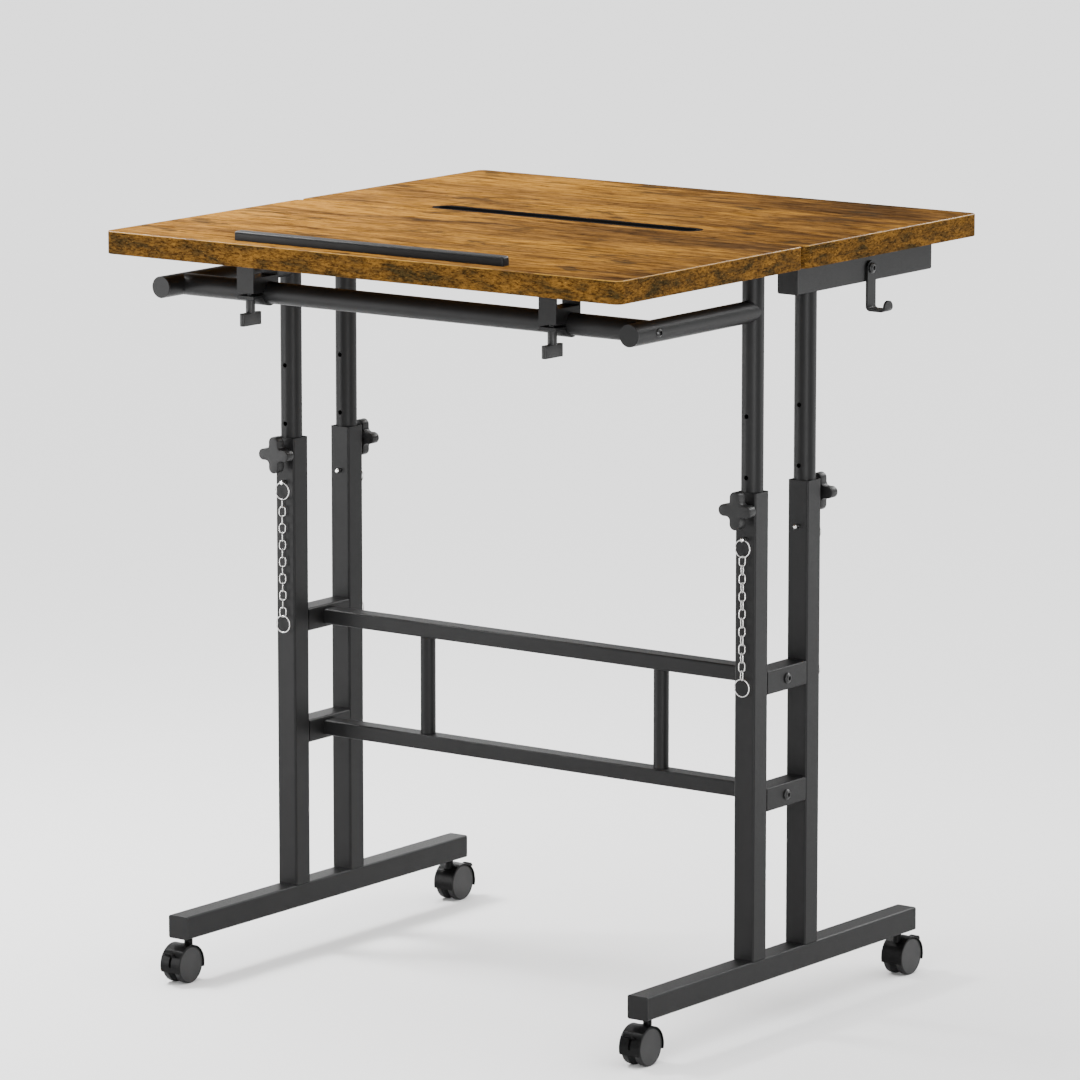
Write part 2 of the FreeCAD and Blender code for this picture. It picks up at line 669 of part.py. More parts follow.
def make_cross_tube():
    """Make the cross tube, shaped round the arms, with a threaded plug in each end."""
    start = (f"-{LEG_X}", CROSS_Y, ARM_Z)
    tube = round_tube("cross_tube_blank", POST_RADIUS, "post_wall", f"2 * {LEG_X}", start, "x")
    arm_length = "4 * tube_size"
    arms, plugs = [], []
    for side in SIDES:
        arm_start = (along(side, LEG_X), f"{CROSS_Y} - 2 * tube_size", ARM_Z)
        arms.append(rod(f"{side}_cross_tube_cope", POST_RADIUS, arm_length, arm_start, "y"))
        axis = "-x" if side == "right" else "x"
        plug_start = (along(side, f"{LEG_X} - {POST_RADIUS}"), CROSS_Y, ARM_Z)
        plug_radius = f"{POST_RADIUS} - post_wall - plug_clearance"
        blank = rod(f"{side}_tube_plug_blank", plug_radius, "tube_plug_length", plug_start, axis)
        bore = rod(f"{side}_tube_plug_bore", SCREW_HOLE, "tube_plug_length", plug_start, axis)
        plugs.append(cut(f"{side}_tube_plug", blank, [bore]))
    coped = cut("cross_tube_coped", tube, arms)
    node(group("front_cross_tube", [coped] + plugs), "front_cross_tube")


def make_cross_tube_screws():
    """Make the screws that hold the cross tube between the arms."""
    screws = []
    for side in SIDES:
        start = (along(side, ARM_SEAT), CROSS_Y, ARM_Z)
        axis = "x" if side == "right" else "-x"
        length = f"{POST_DIAMETER} + tube_plug_length / 2"
        screws.append(button_screw(f"{side}_arm_screw", "arm_screw_head", length, start, axis))
    node(group("cross_tube_screws", screws), "cross_tube_screws")


def make_front_caps():
    """Close the arms' front ends, and the posts' tops where the panel rests."""
    caps = []
    inside = f"{POST_RADIUS} - post_wall - plug_clearance"
    for side in SIDES:
        x = along(side, LEG_X)
        arm_end = (x, f"{CROSS_Y} - arm_overhang", ARM_Z)
        post_end = (x, LEG_Y["front"], BOARD_BOTTOM)
        for label, start, axis, cap in (
            ("arm", arm_end, "y", "plug_cap"),
            ("post", post_end, "-z", "post_cap"),
        ):
            name = f"{side}_{label}_cap"
            corners = [
                ("0", "0"),
                ("0", POST_RADIUS),
                (cap, POST_RADIUS),
                (cap, inside),
                (f"{cap} + plug_depth", inside),
                (f"{cap} + plug_depth", "0"),
            ]
            body = turned_body(name, corners)
            direction = VECTOR(0, 0, -1) if axis == "-z" else POINTING[axis].multVec(VECTOR(0, 0, 1))
            caps.append(place(body, start, FreeCAD.Rotation(VECTOR(1, 0, 0), direction)))
    node(group("front_tube_caps", caps), "front_tube_caps")


# Tilting front panel


def board(name, depth, low_y):
    """Make a panel with rounded upright corners and eased edges."""
    half = "desk_width / 2"
    corners = [(f"-{half}", "0"), (half, "0"), (half, depth), (f"-{half}", depth)]
    body = padded_body(name, "XY_Plane", [corners], "board_thick")
    dress(body, "Fillet", "board_corner", lambda edge: runs_along(edge, VECTOR(0, 0, 1)))
    dress(body, "Chamfer", "board_ease", lambda edge: not runs_along(edge, VECTOR(0, 0, 1)))
    return place(body, ("0", low_y, BOARD_BOTTOM))


def clamp_screw_places(side):
    """Give the two screw places of a clamp, in the window under its top plate."""
    middle = along(side, CLAMP_X)
    y = f"{CROSS_Y} + (clamp_back - clamp_back_leg - clamp_front + clamp_front_leg) / 2"
    return [(f"{middle} + {along(end, 'wood_screw_spread / 2')}", y) for end in SIDES]


def make_front_panel():
    """Make the front panel with pilot holes for the clamps' screws."""
    panel = board("front_board", "front_depth", FRONT_EDGE)
    holes = []
    for side in SIDES:
        for number, (x, y) in enumerate(clamp_screw_places(side)):
            hole_name = f"{side}_clamp_pilot_{number}"
            radius, depth = "wood_screw / 2 + axle_clearance", "wood_screw_bite + axle_clearance"
            holes.append(rod(hole_name, radius, depth, (x, y, BOARD_BOTTOM)))
    node(cut("front_panel", panel, holes), "front_panel")


def make_edge_stop():
    """Make the moulded bar that stops things sliding off the front panel."""
    low, high = "desk_height", "desk_height + stop_height"
    front = f"({FRONT_EDGE} + stop_inset)"
    corners = [
        (front, low),
        (f"{front} + stop_depth", low),
        (f"{front} + stop_depth", high),
        (front, high),
    ]
    body = padded_body("edge_stop", "YZ_Plane", [corners], "stop_length", midplane=True)
    top = SHEET.desk_height + SHEET.stop_height

    def upper_or_end(edge):
        is_top = runs_along(edge, VECTOR(1, 0, 0)) and edge.CenterOfMass.z > top - SAME_PLACE
        return is_top or runs_along(edge, VECTOR(0, 0, 1))

    dress(body, "Fillet", "stop_round", upper_or_end)
    node(body, "edge_stop")


def make_clamp(side):
    """Make a clamp: the bracket under the panel and the strap below the cross tube."""
    x = along(side, CLAMP_X)
    low_x = f"{x} - clamp_width / 2"
    back, front = f"{CROSS_Y} + clamp_back", f"{CROSS_Y} - clamp_front"
    depth = "(clamp_front + clamp_back)"
    bore_radius = f"{POST_RADIUS} + hinge_clearance"
    split = f"({ARM_Z} + clamp_split / 2)"
    block = box(
        f"{side}_bracket_block", ("clamp_width", depth, f"{BOARD_BOTTOM} - {split}"), (low_x, front, split)
    )
    saddle_top = f"({ARM_Z} + {bore_radius} + clamp_saddle)"
    window_height = f"{BOARD_BOTTOM} - clamp_top - {saddle_top}"
    window = box(
        f"{side}_bracket_window",
        ("clamp_width", f"{depth} - clamp_front_leg - clamp_back_leg", window_height),
        (low_x, f"{front} + clamp_front_leg", saddle_top),
    )
    bore = rod(f"{side}_bracket_bore", bore_radius, "clamp_width", (low_x, CROSS_Y, ARM_Z), "x")
    thread = rod(f"{side}_thumb_thread", SCREW_HOLE, "arm_drop / 2", (x, THUMB_Y, ARM_Z))
    screw_holes = [
        rod(f"{side}_bracket_hole_{number}", "wood_screw / 2 + axle_clearance", "2 * clamp_top",
            (hole_x, hole_y, f"{BOARD_BOTTOM} - clamp_top - axle_clearance"))
        for number, (hole_x, hole_y) in enumerate(clamp_screw_places(side))
    ]
    bracket = cut(f"{side}_bracket", block, [window, bore, thread] + screw_holes)
    flange = box(f"{side}_strap_flange", ("clamp_width", depth, "clamp_flange"), (low_x, front, STRAP_BOTTOM))
    jaw = rod(
        f"{side}_strap_jaw", f"{bore_radius} + clamp_jaw", "clamp_width", (low_x, CROSS_Y, ARM_Z), "x"
    )
    above_start = (low_x, f"{front} - {depth} / 2", STRAP_TOP)
    above = box(f"{side}_strap_above", ("clamp_width", f"2 * {depth}", "tube_size"), above_start)
    heel = box(
        f"{side}_strap_heel", ("clamp_width", "clamp_back_leg", "clamp_split"),
        (low_x, f"{back} - clamp_back_leg", STRAP_TOP)
    )
    strap_bore = rod(f"{side}_strap_bore", bore_radius, "clamp_width", (low_x, CROSS_Y, ARM_Z), "x")
    strap_hole = rod(
        f"{side}_strap_hole", "screw_diameter / 2 + pin_clearance", "2 * clamp_flange",
        (x, THUMB_Y, f"{STRAP_BOTTOM} - clamp_flange / 2")
    )
    lower_jaw = cut(f"{side}_strap_half", jaw, [above])
    strap_blank = fuse(f"{side}_strap_blank", [flange, lower_jaw, heel])
    strap = cut(f"{side}_strap", strap_blank, [strap_bore, strap_hole])
    node(group(f"{side}_clamp", [bracket, strap]), f"{side}_clamp")


def make_clamp_screws():
    """Make the wood screws that hold the clamps to the front panel."""
    screws = []
    for side in SIDES:
        for number, (x, y) in enumerate(clamp_screw_places(side)):
            start = (x, y, f"{BOARD_BOTTOM} - clamp_top - 2 * axle_clearance - clamp_top / 2")
            screws.append(wood_screw(f"{side}_clamp_screw_{number}", "clamp_top / 2", "clamp_top", start))
    node(group("clamp_screws", screws), "clamp_screws")


def make_thumbscrew(side):
    """Make a thumbscrew: thread, stem and an S-shaped wing."""
    x = along(side, CLAMP_X)
    shoulder = f"({STRAP_BOTTOM} - stud_gap)"
    stem_low = f"{shoulder} - thumb_stem_length"
    thread = rod(
        f"{side}_thumb_screw_thread", "screw_diameter / 2", f"{ARM_Z} + arm_drop / 3 - ({stem_low})",
        (x, THUMB_Y, stem_low)
    )
    stem = rod(f"{side}_thumb_stem", "thumb_stem / 2", "thumb_stem_length", (x, THUMB_Y, stem_low))
    half, thick, lead = "thumb_grip / 2", "thumb_thick", f"{WING_LEAD} * thumb_thick"
    corners = [
        (f"-{half}", f"-{lead}"),
        ("0", f"-{thick} / 2"),
        (half, f"{lead} - {thick}"),
        (half, lead),
        ("0", f"{thick} / 2"),
        (f"-{half}", f"{thick} - {lead}"),
    ]
    wing = padded_body(f"{side}_thumb_wing", "XY_Plane", [corners], "thumb_height")
    reach = SHEET.thumb_grip / 2
    dress(wing, "Fillet", f"thumb_thick * {WING_ROUND}", lambda edge: (
        runs_along(edge, VECTOR(0, 0, 1)) and abs(edge.CenterOfMass.x) > reach - SAME_PLACE
    ))
    turn = FreeCAD.Rotation(VECTOR(0, 0, 1), SHEET.thumb_angle)
    place(wing, (x, THUMB_Y, f"{stem_low} - thumb_height"), turn)
    node(fuse(f"{side}_thumbscrew", [thread, stem, wing]), f"{side}_thumbscrew")


# Rear height carriage


def make_rear_post(side):
    """Make a rear post, up to the bar under the rear panel."""
    name = f"rear_{side}_post"
    node(drilled_post(name, "rear", side, BAR_BOTTOM), name)


def bar_screw_places():
    """Give the Y of a bar's two panel screws."""
    return ["bar_setback + bar_screw_margin", "bar_setback + bar_length - bar_screw_margin"]


def make_rear_bar(side):
    """Make a bar under the rear panel, with screw holes above and access holes below."""
    x = along(side, LEG_X)
    name = f"{side}_rear_bar"
    start = (x, "bar_setback + plug_cap", f"{BOARD_BOTTOM} - bar_height / 2")
    tube = square_tube(
        f"{name}_tube", ("tube_size", "bar_height"), "bar_wall", "bar_length - 2 * plug_cap", start, "y"
    )
    holes = []
    for number, y in enumerate(bar_screw_places()):
        top = (x, y, f"{BOARD_BOTTOM} - bar_height / 2")
        holes.append(rod(f"{name}_hole_{number}", "wood_screw / 2 + axle_clearance", "bar_height", top))
        access = (x, y, f"{BAR_BOTTOM} - bar_wall")
        holes.append(rod(f"{name}_access_{number}", "wood_screw_head / 2 + bar_wall", "3 * bar_wall", access))
    if side == "right":
        low = (x, "hook_setback", f"{BOARD_BOTTOM} - hook_screw_drop")
        holes.append(rod(f"{name}_hook_hole", SCREW_HOLE, "tube_size", low, "x"))
    node(cut(name, tube, holes), name)


def make_bar_plugs():
    """Close the ends of the rear bars."""
    plugs = []
    for side in SIDES:
        for end, y, axis in (
            ("front", "bar_setback", "y"),
            ("rear", "bar_setback + bar_length", "-y"),
        ):
            start = (along(side, LEG_X), y, f"{BOARD_BOTTOM} - bar_height / 2")
            section = ("tube_size", "bar_height")
            plugs.append(end_plug(f"{side}_{end}_bar_plug", section, "bar_wall", start, axis))
    node(group("bar_end_plugs", plugs), "bar_end_plugs")


RIM_LENGTH = "(slot_length + 2 * liner_rim)"
RIM_WIDTH = "(slot_width + 2 * liner_rim)"
WALL_LENGTH = "(slot_length + 2 * liner_wall)"
WALL_WIDTH = "(slot_width + 2 * liner_wall)"
LINER_BOTTOM = f"({SLOT_FLOOR} - liner_wall)"
RIM_BOTTOM = "(desk_height - liner_rim_thick)"


def make_rear_panel():
    """Make the rear panel with the slot's cut-out, its rim's rebate and the screws' pilot holes."""
    panel = board("rear_board", "rear_depth", "0")
    spare = "2 * plug_clearance"
    tools = [
        fuse(
            "slot_cut",
            [
                oblong("slot_well", f"{WALL_LENGTH} + {spare}", f"{WALL_WIDTH} + {spare}",
                       "2 * board_thick", ("0", "slot_setback", LINER_BOTTOM)),
                oblong("slot_rebate", f"{RIM_LENGTH} + {spare}", f"{RIM_WIDTH} + {spare}",
                       "2 * board_thick", ("0", "slot_setback", RIM_BOTTOM)),
            ],
        )
    ]
    for side in SIDES:
        for number, y in enumerate(bar_screw_places()):
            radius, depth = "wood_screw / 2 + axle_clearance", "wood_screw_bite + axle_clearance"
            start = (along(side, LEG_X), y, BOARD_BOTTOM)
            tools.append(rod(f"{side}_bar_pilot_{number}", radius, depth, start))
    node(cut("rear_panel", panel, tools), "rear_panel")


def make_slot_liner():
    """Make the moulded trough in the slot, with a rim flush with the panel."""
    at = ("0", "slot_setback")
    rim = oblong("liner_rim_ring", RIM_LENGTH, RIM_WIDTH, "liner_rim_thick", at + (RIM_BOTTOM,))
    deep = f"desk_height - {LINER_BOTTOM}"
    wall = oblong("liner_trough", WALL_LENGTH, WALL_WIDTH, deep, at + (LINER_BOTTOM,))
    well = oblong("liner_well", "slot_length", "slot_width", "2 * slot_depth", at + (SLOT_FLOOR,))
    node(cut("slot_liner", fuse("liner_blank", [rim, wall]), [well]), "slot_liner")


def make_rear_frame_screws():
    """Make the wood screws that hold the rear panel to its bars, and the hook's screw."""
    screws = []
    for side in SIDES:
        for number, y in enumerate(bar_screw_places()):
            head = "2 * bar_wall"
            low = f"{BOARD_BOTTOM} - bar_wall - 2 * axle_clearance - {head}"
            start = (along(side, LEG_X), y, low)
            screws.append(wood_screw(f"{side}_bar_screw_{number}", head, "bar_wall", start))
    hook_start = (f"{BAR_FACE} + hook_thick", "hook_setback", f"{BOARD_BOTTOM} - hook_screw_drop")
    screws.append(button_screw("hook_screw", "screw_head", "hook_thick + tube_size / 2", hook_start, "x"))
    node(group("rear_frame_screws", screws), "rear_frame_screws")


def make_hook():
    """Bend the headphone hook from one strip: a round-topped tab, a bend out and an upturned tip."""
    face = BAR_FACE
    low = f"({BOARD_BOTTOM} - hook_drop)"
    top = f"({BOARD_BOTTOM} - hook_screw_drop + hook_width / 2)"
    tip = f"({face} + hook_reach)"
    corners = [
        (face, low),
        (tip, low),
        (tip, f"{low} + hook_lip"),
        (f"{tip} - hook_thick", f"{low} + hook_lip"),
        (f"{tip} - hook_thick", f"{low} + hook_thick"),
        (f"{face} + hook_thick", f"{low} + hook_thick"),
        (f"{face} + hook_thick", top),
        (face, top),
    ]
    body = padded_body("hook_strip", "XZ_Plane", [corners], "hook_width", midplane=True)
    floor = SHEET.desk_height - SHEET.board_thick - SHEET.hook_drop
    thick = SHEET.hook_thick

    def at_level(level):
        def bend(edge):
            middle = edge.CenterOfMass
            at_end = min(abs(middle.x - near), abs(middle.x - far)) < SAME_PLACE
            return runs_along(edge, VECTOR(0, 1, 0)) and abs(middle.z - level) < SAME_PLACE and at_end

        return bend

    near = LEG_SPOT + SHEET.tube_size / 2
    far = near + SHEET.hook_reach
    dress(body, "Fillet", "hook_bend", at_level(floor))
    near, far = near + thick, far - thick
    dress(body, "Fillet", "hook_bend - hook_thick", at_level(floor + thick))
    crown = SHEET.desk_height - SHEET.board_thick - SHEET.hook_screw_drop + SHEET.hook_width / 2
    lip = floor + SHEET.hook_lip

    def tab_end(edge):
        middle = edge.CenterOfMass
        at_end = min(abs(middle.z - crown), abs(middle.z - lip)) < SAME_PLACE
        return runs_along(edge, VECTOR(1, 0, 0)) and at_end

    dress(body, "Fillet", f"hook_width * {ROUND_END}", tab_end)
    place(body, ("0", "hook_setback", "0"))
    hole_start = (f"{face} - hook_thick", "hook_setback", f"{BOARD_BOTTOM} - hook_screw_drop")
    hole = rod("hook_hole", SCREW_HOLE, "3 * hook_thick", hole_start, "x")
    node(cut("headphone_hook", body, [hole]), "headphone_hook")


# Knobs, pins and chains


def make_knob(row, side):
    """Make a knob: four round lobes with a hub, and the steel stud that presses on the post."""
    x = along(side, LEG_X)
    name = f"{row}_{side}_knob"
    span, lobe = "knob_span / 2", "knob_lobe / 2"
    corners = []
    for quarter in range(4):
        turn = math.radians(90 * quarter)
        cosine, sine = round(math.cos(turn)), round(math.sin(turn))
        for across in (f"-{lobe}", lobe):
            across_x, across_y = f"{sine} * ({across})", f"{cosine} * ({across})"
            corners.append((f"{cosine} * {span} - {across_x}", f"{sine} * {span} + {across_y}"))
        corners.append((f"({cosine} - {sine}) * {lobe}", f"({sine} + {cosine}) * {lobe}"))
    head = padded_body(f"{name}_head", "XY_Plane", [corners], "knob_thick")
    inner = SHEET.knob_lobe / math.sqrt(2) + SAME_PLACE

    def is_inner(edge):
        return math.hypot(edge.CenterOfMass.x, edge.CenterOfMass.y) < inner

    upright = VECTOR(0, 0, 1)
    lobe_round = f"knob_lobe * {ROUND_END}"
    dress(head, "Fillet", lobe_round, lambda edge: runs_along(edge, upright) and not is_inner(edge))
    dress(head, "Fillet", "knob_corner", lambda edge: runs_along(edge, upright) and is_inner(edge))
    face = SHEET.knob_thick
    dress(head, "Chamfer", "knob_ease", lambda edge: edge.BoundBox.ZMin > face - SAME_PLACE)
    out = outward_axis(row)
    place(head, (x, out_from_face(row, "knob_standoff"), KNOB_Z), POINTING[out])
    hub_start = (x, out_from_face(row, "nut_height + stud_gap"), KNOB_Z)
    hub = rod(f"{name}_hub", "knob_hub / 2", "knob_standoff - nut_height", hub_start, out)
    stud_start = (x, f"{LEG_Y[row]} + {OUTWARD[row]} * ({POST_RADIUS} + stud_gap)", KNOB_Z)
    stud_length = f"tube_size / 2 + knob_standoff + knob_thick / 2 - {POST_RADIUS} - stud_gap"
    stud = rod(f"{name}_stud", "stud_diameter / 2", stud_length, stud_start, out)
    node(fuse(name, [head, hub, stud]), name)


def make_pin(row, side):
    """Make a pull pin, chamfered at its tip, with a hole for its ring."""
    x = along(side, LEG_X)
    name = f"{row}_{side}_pin"
    length = "(pin_tip + tube_size + chain_offset + pin_end)"
    radius = "pin_diameter / 2"
    corners = [
        ("0", "0"),
        (length, "0"),
        (length, f"{radius} * {PIN_POINT}"),
        (f"{length} - {radius} * (1 - {PIN_POINT})", radius),
        (f"{radius} * {PIN_POINT}", radius),
        ("0", f"{radius} * {PIN_BUTT}"),
    ]
    out = VECTOR(0, OUTWARD[row], 0)
    start = (x, f"{LEG_Y[row]} - {OUTWARD[row]} * (tube_size / 2 + pin_tip)", PIN_Z)
    body = place(turned_body(f"{name}_turned", corners), start, FreeCAD.Rotation(VECTOR(1, 0, 0), out))
    eye_start = (f"{x} - pin_diameter", out_from_face(row, "chain_offset"), PIN_Z)
    eye = rod(f"{name}_eye", "pin_eye / 2", "2 * pin_diameter", eye_start, "x")
    node(cut(name, body, [eye]), name)


WIRE_SIDES = 6
RING_SIDES = 12
LINK_END_STEPS = 3


def wire_loop(path, wire):
    """Bend a closed loop of wire with mitred corners along a path of points in its own plane."""
    count = len(path)
    mitres = []
    for index, point in enumerate(path):
        before = (point - path[index - 1]).normalize()
        after = (path[(index + 1) % count] - point).normalize()
        normals = [VECTOR(run.y, -run.x, 0) for run in (before, after)]
        total = normals[0] + normals[1]
        mitres.append(total * (2 / total.dot(total)))
    rings = []
    for side in range(WIRE_SIDES):
        turn = 2 * math.pi * (side + 0.5) / WIRE_SIDES
        outward, sideways = wire / 2 * math.cos(turn), VECTOR(0, 0, wire / 2 * math.sin(turn))
        rings.append([point + mitre * outward + sideways for point, mitre in zip(path, mitres)])
    faces = []
    for side in range(WIRE_SIDES):
        near, far = rings[side], rings[(side + 1) % WIRE_SIDES]
        for index in range(count):
            following = (index + 1) % count
            corners = [near[index], near[following], far[following], far[index], near[index]]
            faces.append(Part.Face(Part.makePolygon(corners)))
    solid = Part.Solid(Part.Shell(faces))
    if solid.Volume < 0:
        solid.reverse()
    return solid


def ring_path(diameter):
    """Give the corners of a ring, with a flat at its top and bottom."""
    radius = diameter / 2 / math.cos(math.pi / RING_SIDES)
    turns = [2 * math.pi * (index + 0.5) / RING_SIDES for index in range(RING_SIDES)]
    return [VECTOR(radius * math.cos(turn), radius * math.sin(turn), 0) for turn in turns]


def link_path(length, width):
    """Give the corners of a round-ended link, long in its own Y."""
    radius = width / 2
    straight = length / 2 - radius
    path = []
    for end in (1, -1):
        for step in range(LINK_END_STEPS + 1):
            turn = math.pi * step / LINK_END_STEPS
            path.append(VECTOR(end * radius * math.cos(turn), end * (straight + radius * math.sin(turn)), 0))
    flat = math.sin(math.pi * (LINK_END_STEPS // 2) / LINK_END_STEPS)
    missing = radius * (1 - flat)
    return [VECTOR(corner.x, corner.y + math.copysign(missing, corner.y), 0) for corner in path]


def make_chain(row, side):
    """Hang a ring in the pin, then links that turn by quarters, then a second ring."""
    x = SIDES[side] * LEG_SPOT
    out = OUTWARD[row]
    leg_y = SHEET.base_centre + out * SHEET.leg_pitch / 2
    y = leg_y + out * (SHEET.tube_size / 2 + SHEET.chain_offset)
    pin_z = SHEET.caster_height + SHEET.tube_size + SHEET.upright_length - SHEET.pin_drop
    flat = FreeCAD.Rotation(VECTOR(1, 0, 0), 90)
    first = FreeCAD.Rotation(VECTOR(0, 0, 1), getattr(SHEET, f"{side}_chain_angle")).multiply(flat)
    second = FreeCAD.Rotation(VECTOR(0, 0, 1), 90).multiply(first)
    ring = wire_loop(ring_path(SHEET.ring_diameter), SHEET.ring_wire)
    link_length = SHEET.link_pitch + SHEET.link_wire + SHEET.link_gap
    link = wire_loop(link_path(link_length, SHEET.link_width), SHEET.link_wire)
    step_to_ring = (SHEET.link_wire + SHEET.ring_wire) / 2 + SHEET.link_gap
    height = -SHEET.ring_diameter / 2
    pieces = [(ring, flat, height)]
    height += -SHEET.ring_diameter / 2 + step_to_ring - link_length / 2
    count = int(SHEET.link_count)
    for number in range(count):
        pieces.append((link, second if number % 2 else first, height))
        height -= SHEET.link_pitch
    height += SHEET.link_pitch - link_length / 2 + step_to_ring - SHEET.ring_diameter / 2
    pieces.append((ring, flat, height))
    solids = []
    for shape, rotation, drop in pieces:
        solid = shape.copy()
        solid.Placement = FreeCAD.Placement(VECTOR(0, 0, drop), rotation)
        solids.append(solid)
    item = DOCUMENT.addObject("Part::Feature", f"{row}_{side}_chain")
    item.Shape = Part.makeCompound(solids)
    item.Placement = FreeCAD.Placement(VECTOR(x, y, pin_z), FreeCAD.Rotation())
    node(item, f"{row}_{side}_chain")


# Casters, drawn with the stem on Z and the wheels towards -Y, then turned for the rear ones


def caster_place(item, row, side):
    """Stand a caster's piece under the end of its foot."""
    y = f"base_centre + {OUTWARD[row]} * (foot_length / 2 - caster_inset)"
    turn = FreeCAD.Rotation(VECTOR(0, 0, 1), 0 if row == "front" else 180)
    return place(item, (along(side, LEG_X), y, "0"), turn)


AXLE_AT = ("-caster_trail", WHEEL_RADIUS)
AXLE_BORE = "(axle_diameter / 2 + axle_clearance)"


def sector(name, inside, outside, width, low_angle, high_angle):
    """Make part of a ring about the axle, between two angles above the front."""
    start = math.radians(low_angle)
    ray = VECTOR(0, -math.cos(start), math.sin(start))
    ahead = VECTOR(0, math.sin(start), math.cos(start))
    turn = FreeCAD.Rotation(ray, ahead, VECTOR(-1, 0, 0), "XYZ")
    wedge = DOCUMENT.addObject("Part::Cylinder", f"{name}_wedge")
    bind(wedge, Radius=outside, Height=width)
    wedge.Angle = high_angle - low_angle
    place(wedge, (f"{width} / 2",) + AXLE_AT, turn)
    core = rod(f"{name}_core", inside, f"2 * {width}", (f"-({width})",) + AXLE_AT, "x")
    return cut(name, wedge, [core])


def round_hood_ends(name, arc):
    """Round the corners at both ends of a hood's shell."""
    DOCUMENT.recompute()
    wall, radius = SHEET.hood_thick, SHEET.hood_round
    item = DOCUMENT.addObject("Part::Fillet", name)
    item.Base = arc
    item.Edges = [
        (number, radius, radius)
        for number, edge in enumerate(arc.Shape.Edges, start=1)
        if isinstance(edge.Curve, Part.Line) and abs(edge.Length - wall) < SAME_PLACE
    ]
    return item


def make_caster_hood(row, side):
    """Make a hood with the web that carries the axle, and the stem that stands in the web."""
    name = f"{row}_{side}_caster"
    front, rear = SHEET.hood_front_angle, SHEET.hood_rear_angle
    arc = sector(f"{name}_arc", HOOD_INSIDE, HOOD_OUTSIDE, HOOD_WIDTH, front, rear)
    shell = round_hood_ends(f"{name}_shell", arc)
    web_low = f"({WHEEL_RADIUS} - web_reach)"
    web_start = f"-{WEB_WIDTH} / 2"
    block = box(
        f"{name}_web_block", (WEB_WIDTH, "caster_trail + 2 * web_reach", f"{HOOD_OUTSIDE} + web_reach"),
        (web_start, "-caster_trail - web_reach", web_low)
    )
    web_radius = f"{HOOD_INSIDE} + hood_thick / 2"
    limit = rod(f"{name}_web_limit", web_radius, WEB_WIDTH, (web_start,) + AXLE_AT, "x")
    blank = fuse(f"{name}_blank", [shell, common(f"{name}_web", block, limit)])
    slot_width = "(tongue_thick + 2 * web_gap)"
    slot_back = "(-caster_trail + web_reach + web_gap)"
    gap_between = box(
        f"{name}_gap_block", (slot_width, "2 * caster_trail + 2 * web_reach", f"{HOOD_INSIDE} + web_reach"),
        (f"-{slot_width} / 2", f"{slot_back} - 2 * caster_trail - 2 * web_reach", web_low)
    )
    gap_limit = rod(f"{name}_gap_limit", HOOD_INSIDE, "caster_width", ("-caster_width / 2",) + AXLE_AT, "x")
    lever_gap = common(f"{name}_gap", gap_between, gap_limit)
    lever_slot = sector(
        f"{name}_lever_slot", f"{HOOD_INSIDE} - hood_thick", f"{HOOD_OUTSIDE} + hood_thick", slot_width,
        SHEET.slot_low_angle, SHEET.slot_high_angle
    )
    bore = rod(f"{name}_axle_bore", AXLE_BORE, "caster_width", ("-caster_width / 2",) + AXLE_AT, "x")
    shank_low = f"({WHEEL_RADIUS} + web_reach)"
    shank_hole = rod(
        f"{name}_shank_hole", "stem_shank / 2 + axle_clearance", "caster_height", ("0", "0", shank_low)
    )
    inside = fuse(f"{name}_inside", [lever_gap, lever_slot, bore])
    hood = cut(f"{name}_moulding", blank, [inside, shank_hole])
    collar_low = f"({WHEEL_RADIUS} + {HOOD_OUTSIDE})"
    shank = rod(f"{name}_shank", "stem_shank / 2", f"caster_height - {shank_low}", ("0", "0", shank_low))
    collar_length = f"caster_height + stem_length - {collar_low}"
    stem = rod(f"{name}_collar", "stem_diameter / 2", collar_length, ("0", "0", collar_low))
    stem_piece = fuse(f"{name}_stem", [shank, stem])
    node(caster_place(group(f"{name}_hood", [hood, stem_piece]), row, side), f"{name}_hood")


def make_caster_wheels(row, side):
    """Make the two wheels with bevelled rims, and the axle in their blind bores."""
    name = f"{row}_{side}_caster"
    inner, outer = "(caster_width / 2 - wheel_width)", "(caster_width / 2)"
    blind = f"({outer} - wheel_width / 4)"
    corners = [
        (inner, AXLE_BORE),
        (blind, AXLE_BORE),
        (blind, "0"),
        (outer, "0"),
        (outer, f"{WHEEL_RADIUS} - wheel_bevel"),
        (f"{outer} - wheel_bevel", WHEEL_RADIUS),
        (f"{inner} + wheel_bevel / 2", WHEEL_RADIUS),
        (inner, f"{WHEEL_RADIUS} - wheel_bevel / 2"),
    ]
    wheels = []
    for end, turn in (("left", 180), ("right", 0)):
        wheel = turned_body(f"{name}_{end}_wheel", corners)
        wheels.append(place(wheel, ("0",) + AXLE_AT, FreeCAD.Rotation(VECTOR(0, 0, 1), turn)))
    half = f"({blind} - axle_clearance)"
    axle = rod(f"{name}_axle", "axle_diameter / 2", f"2 * {half}", (f"-{half}",) + AXLE_AT, "x")
    node(caster_place(group(f"{name}_wheels", wheels + [axle]), row, side), f"{name}_wheels")


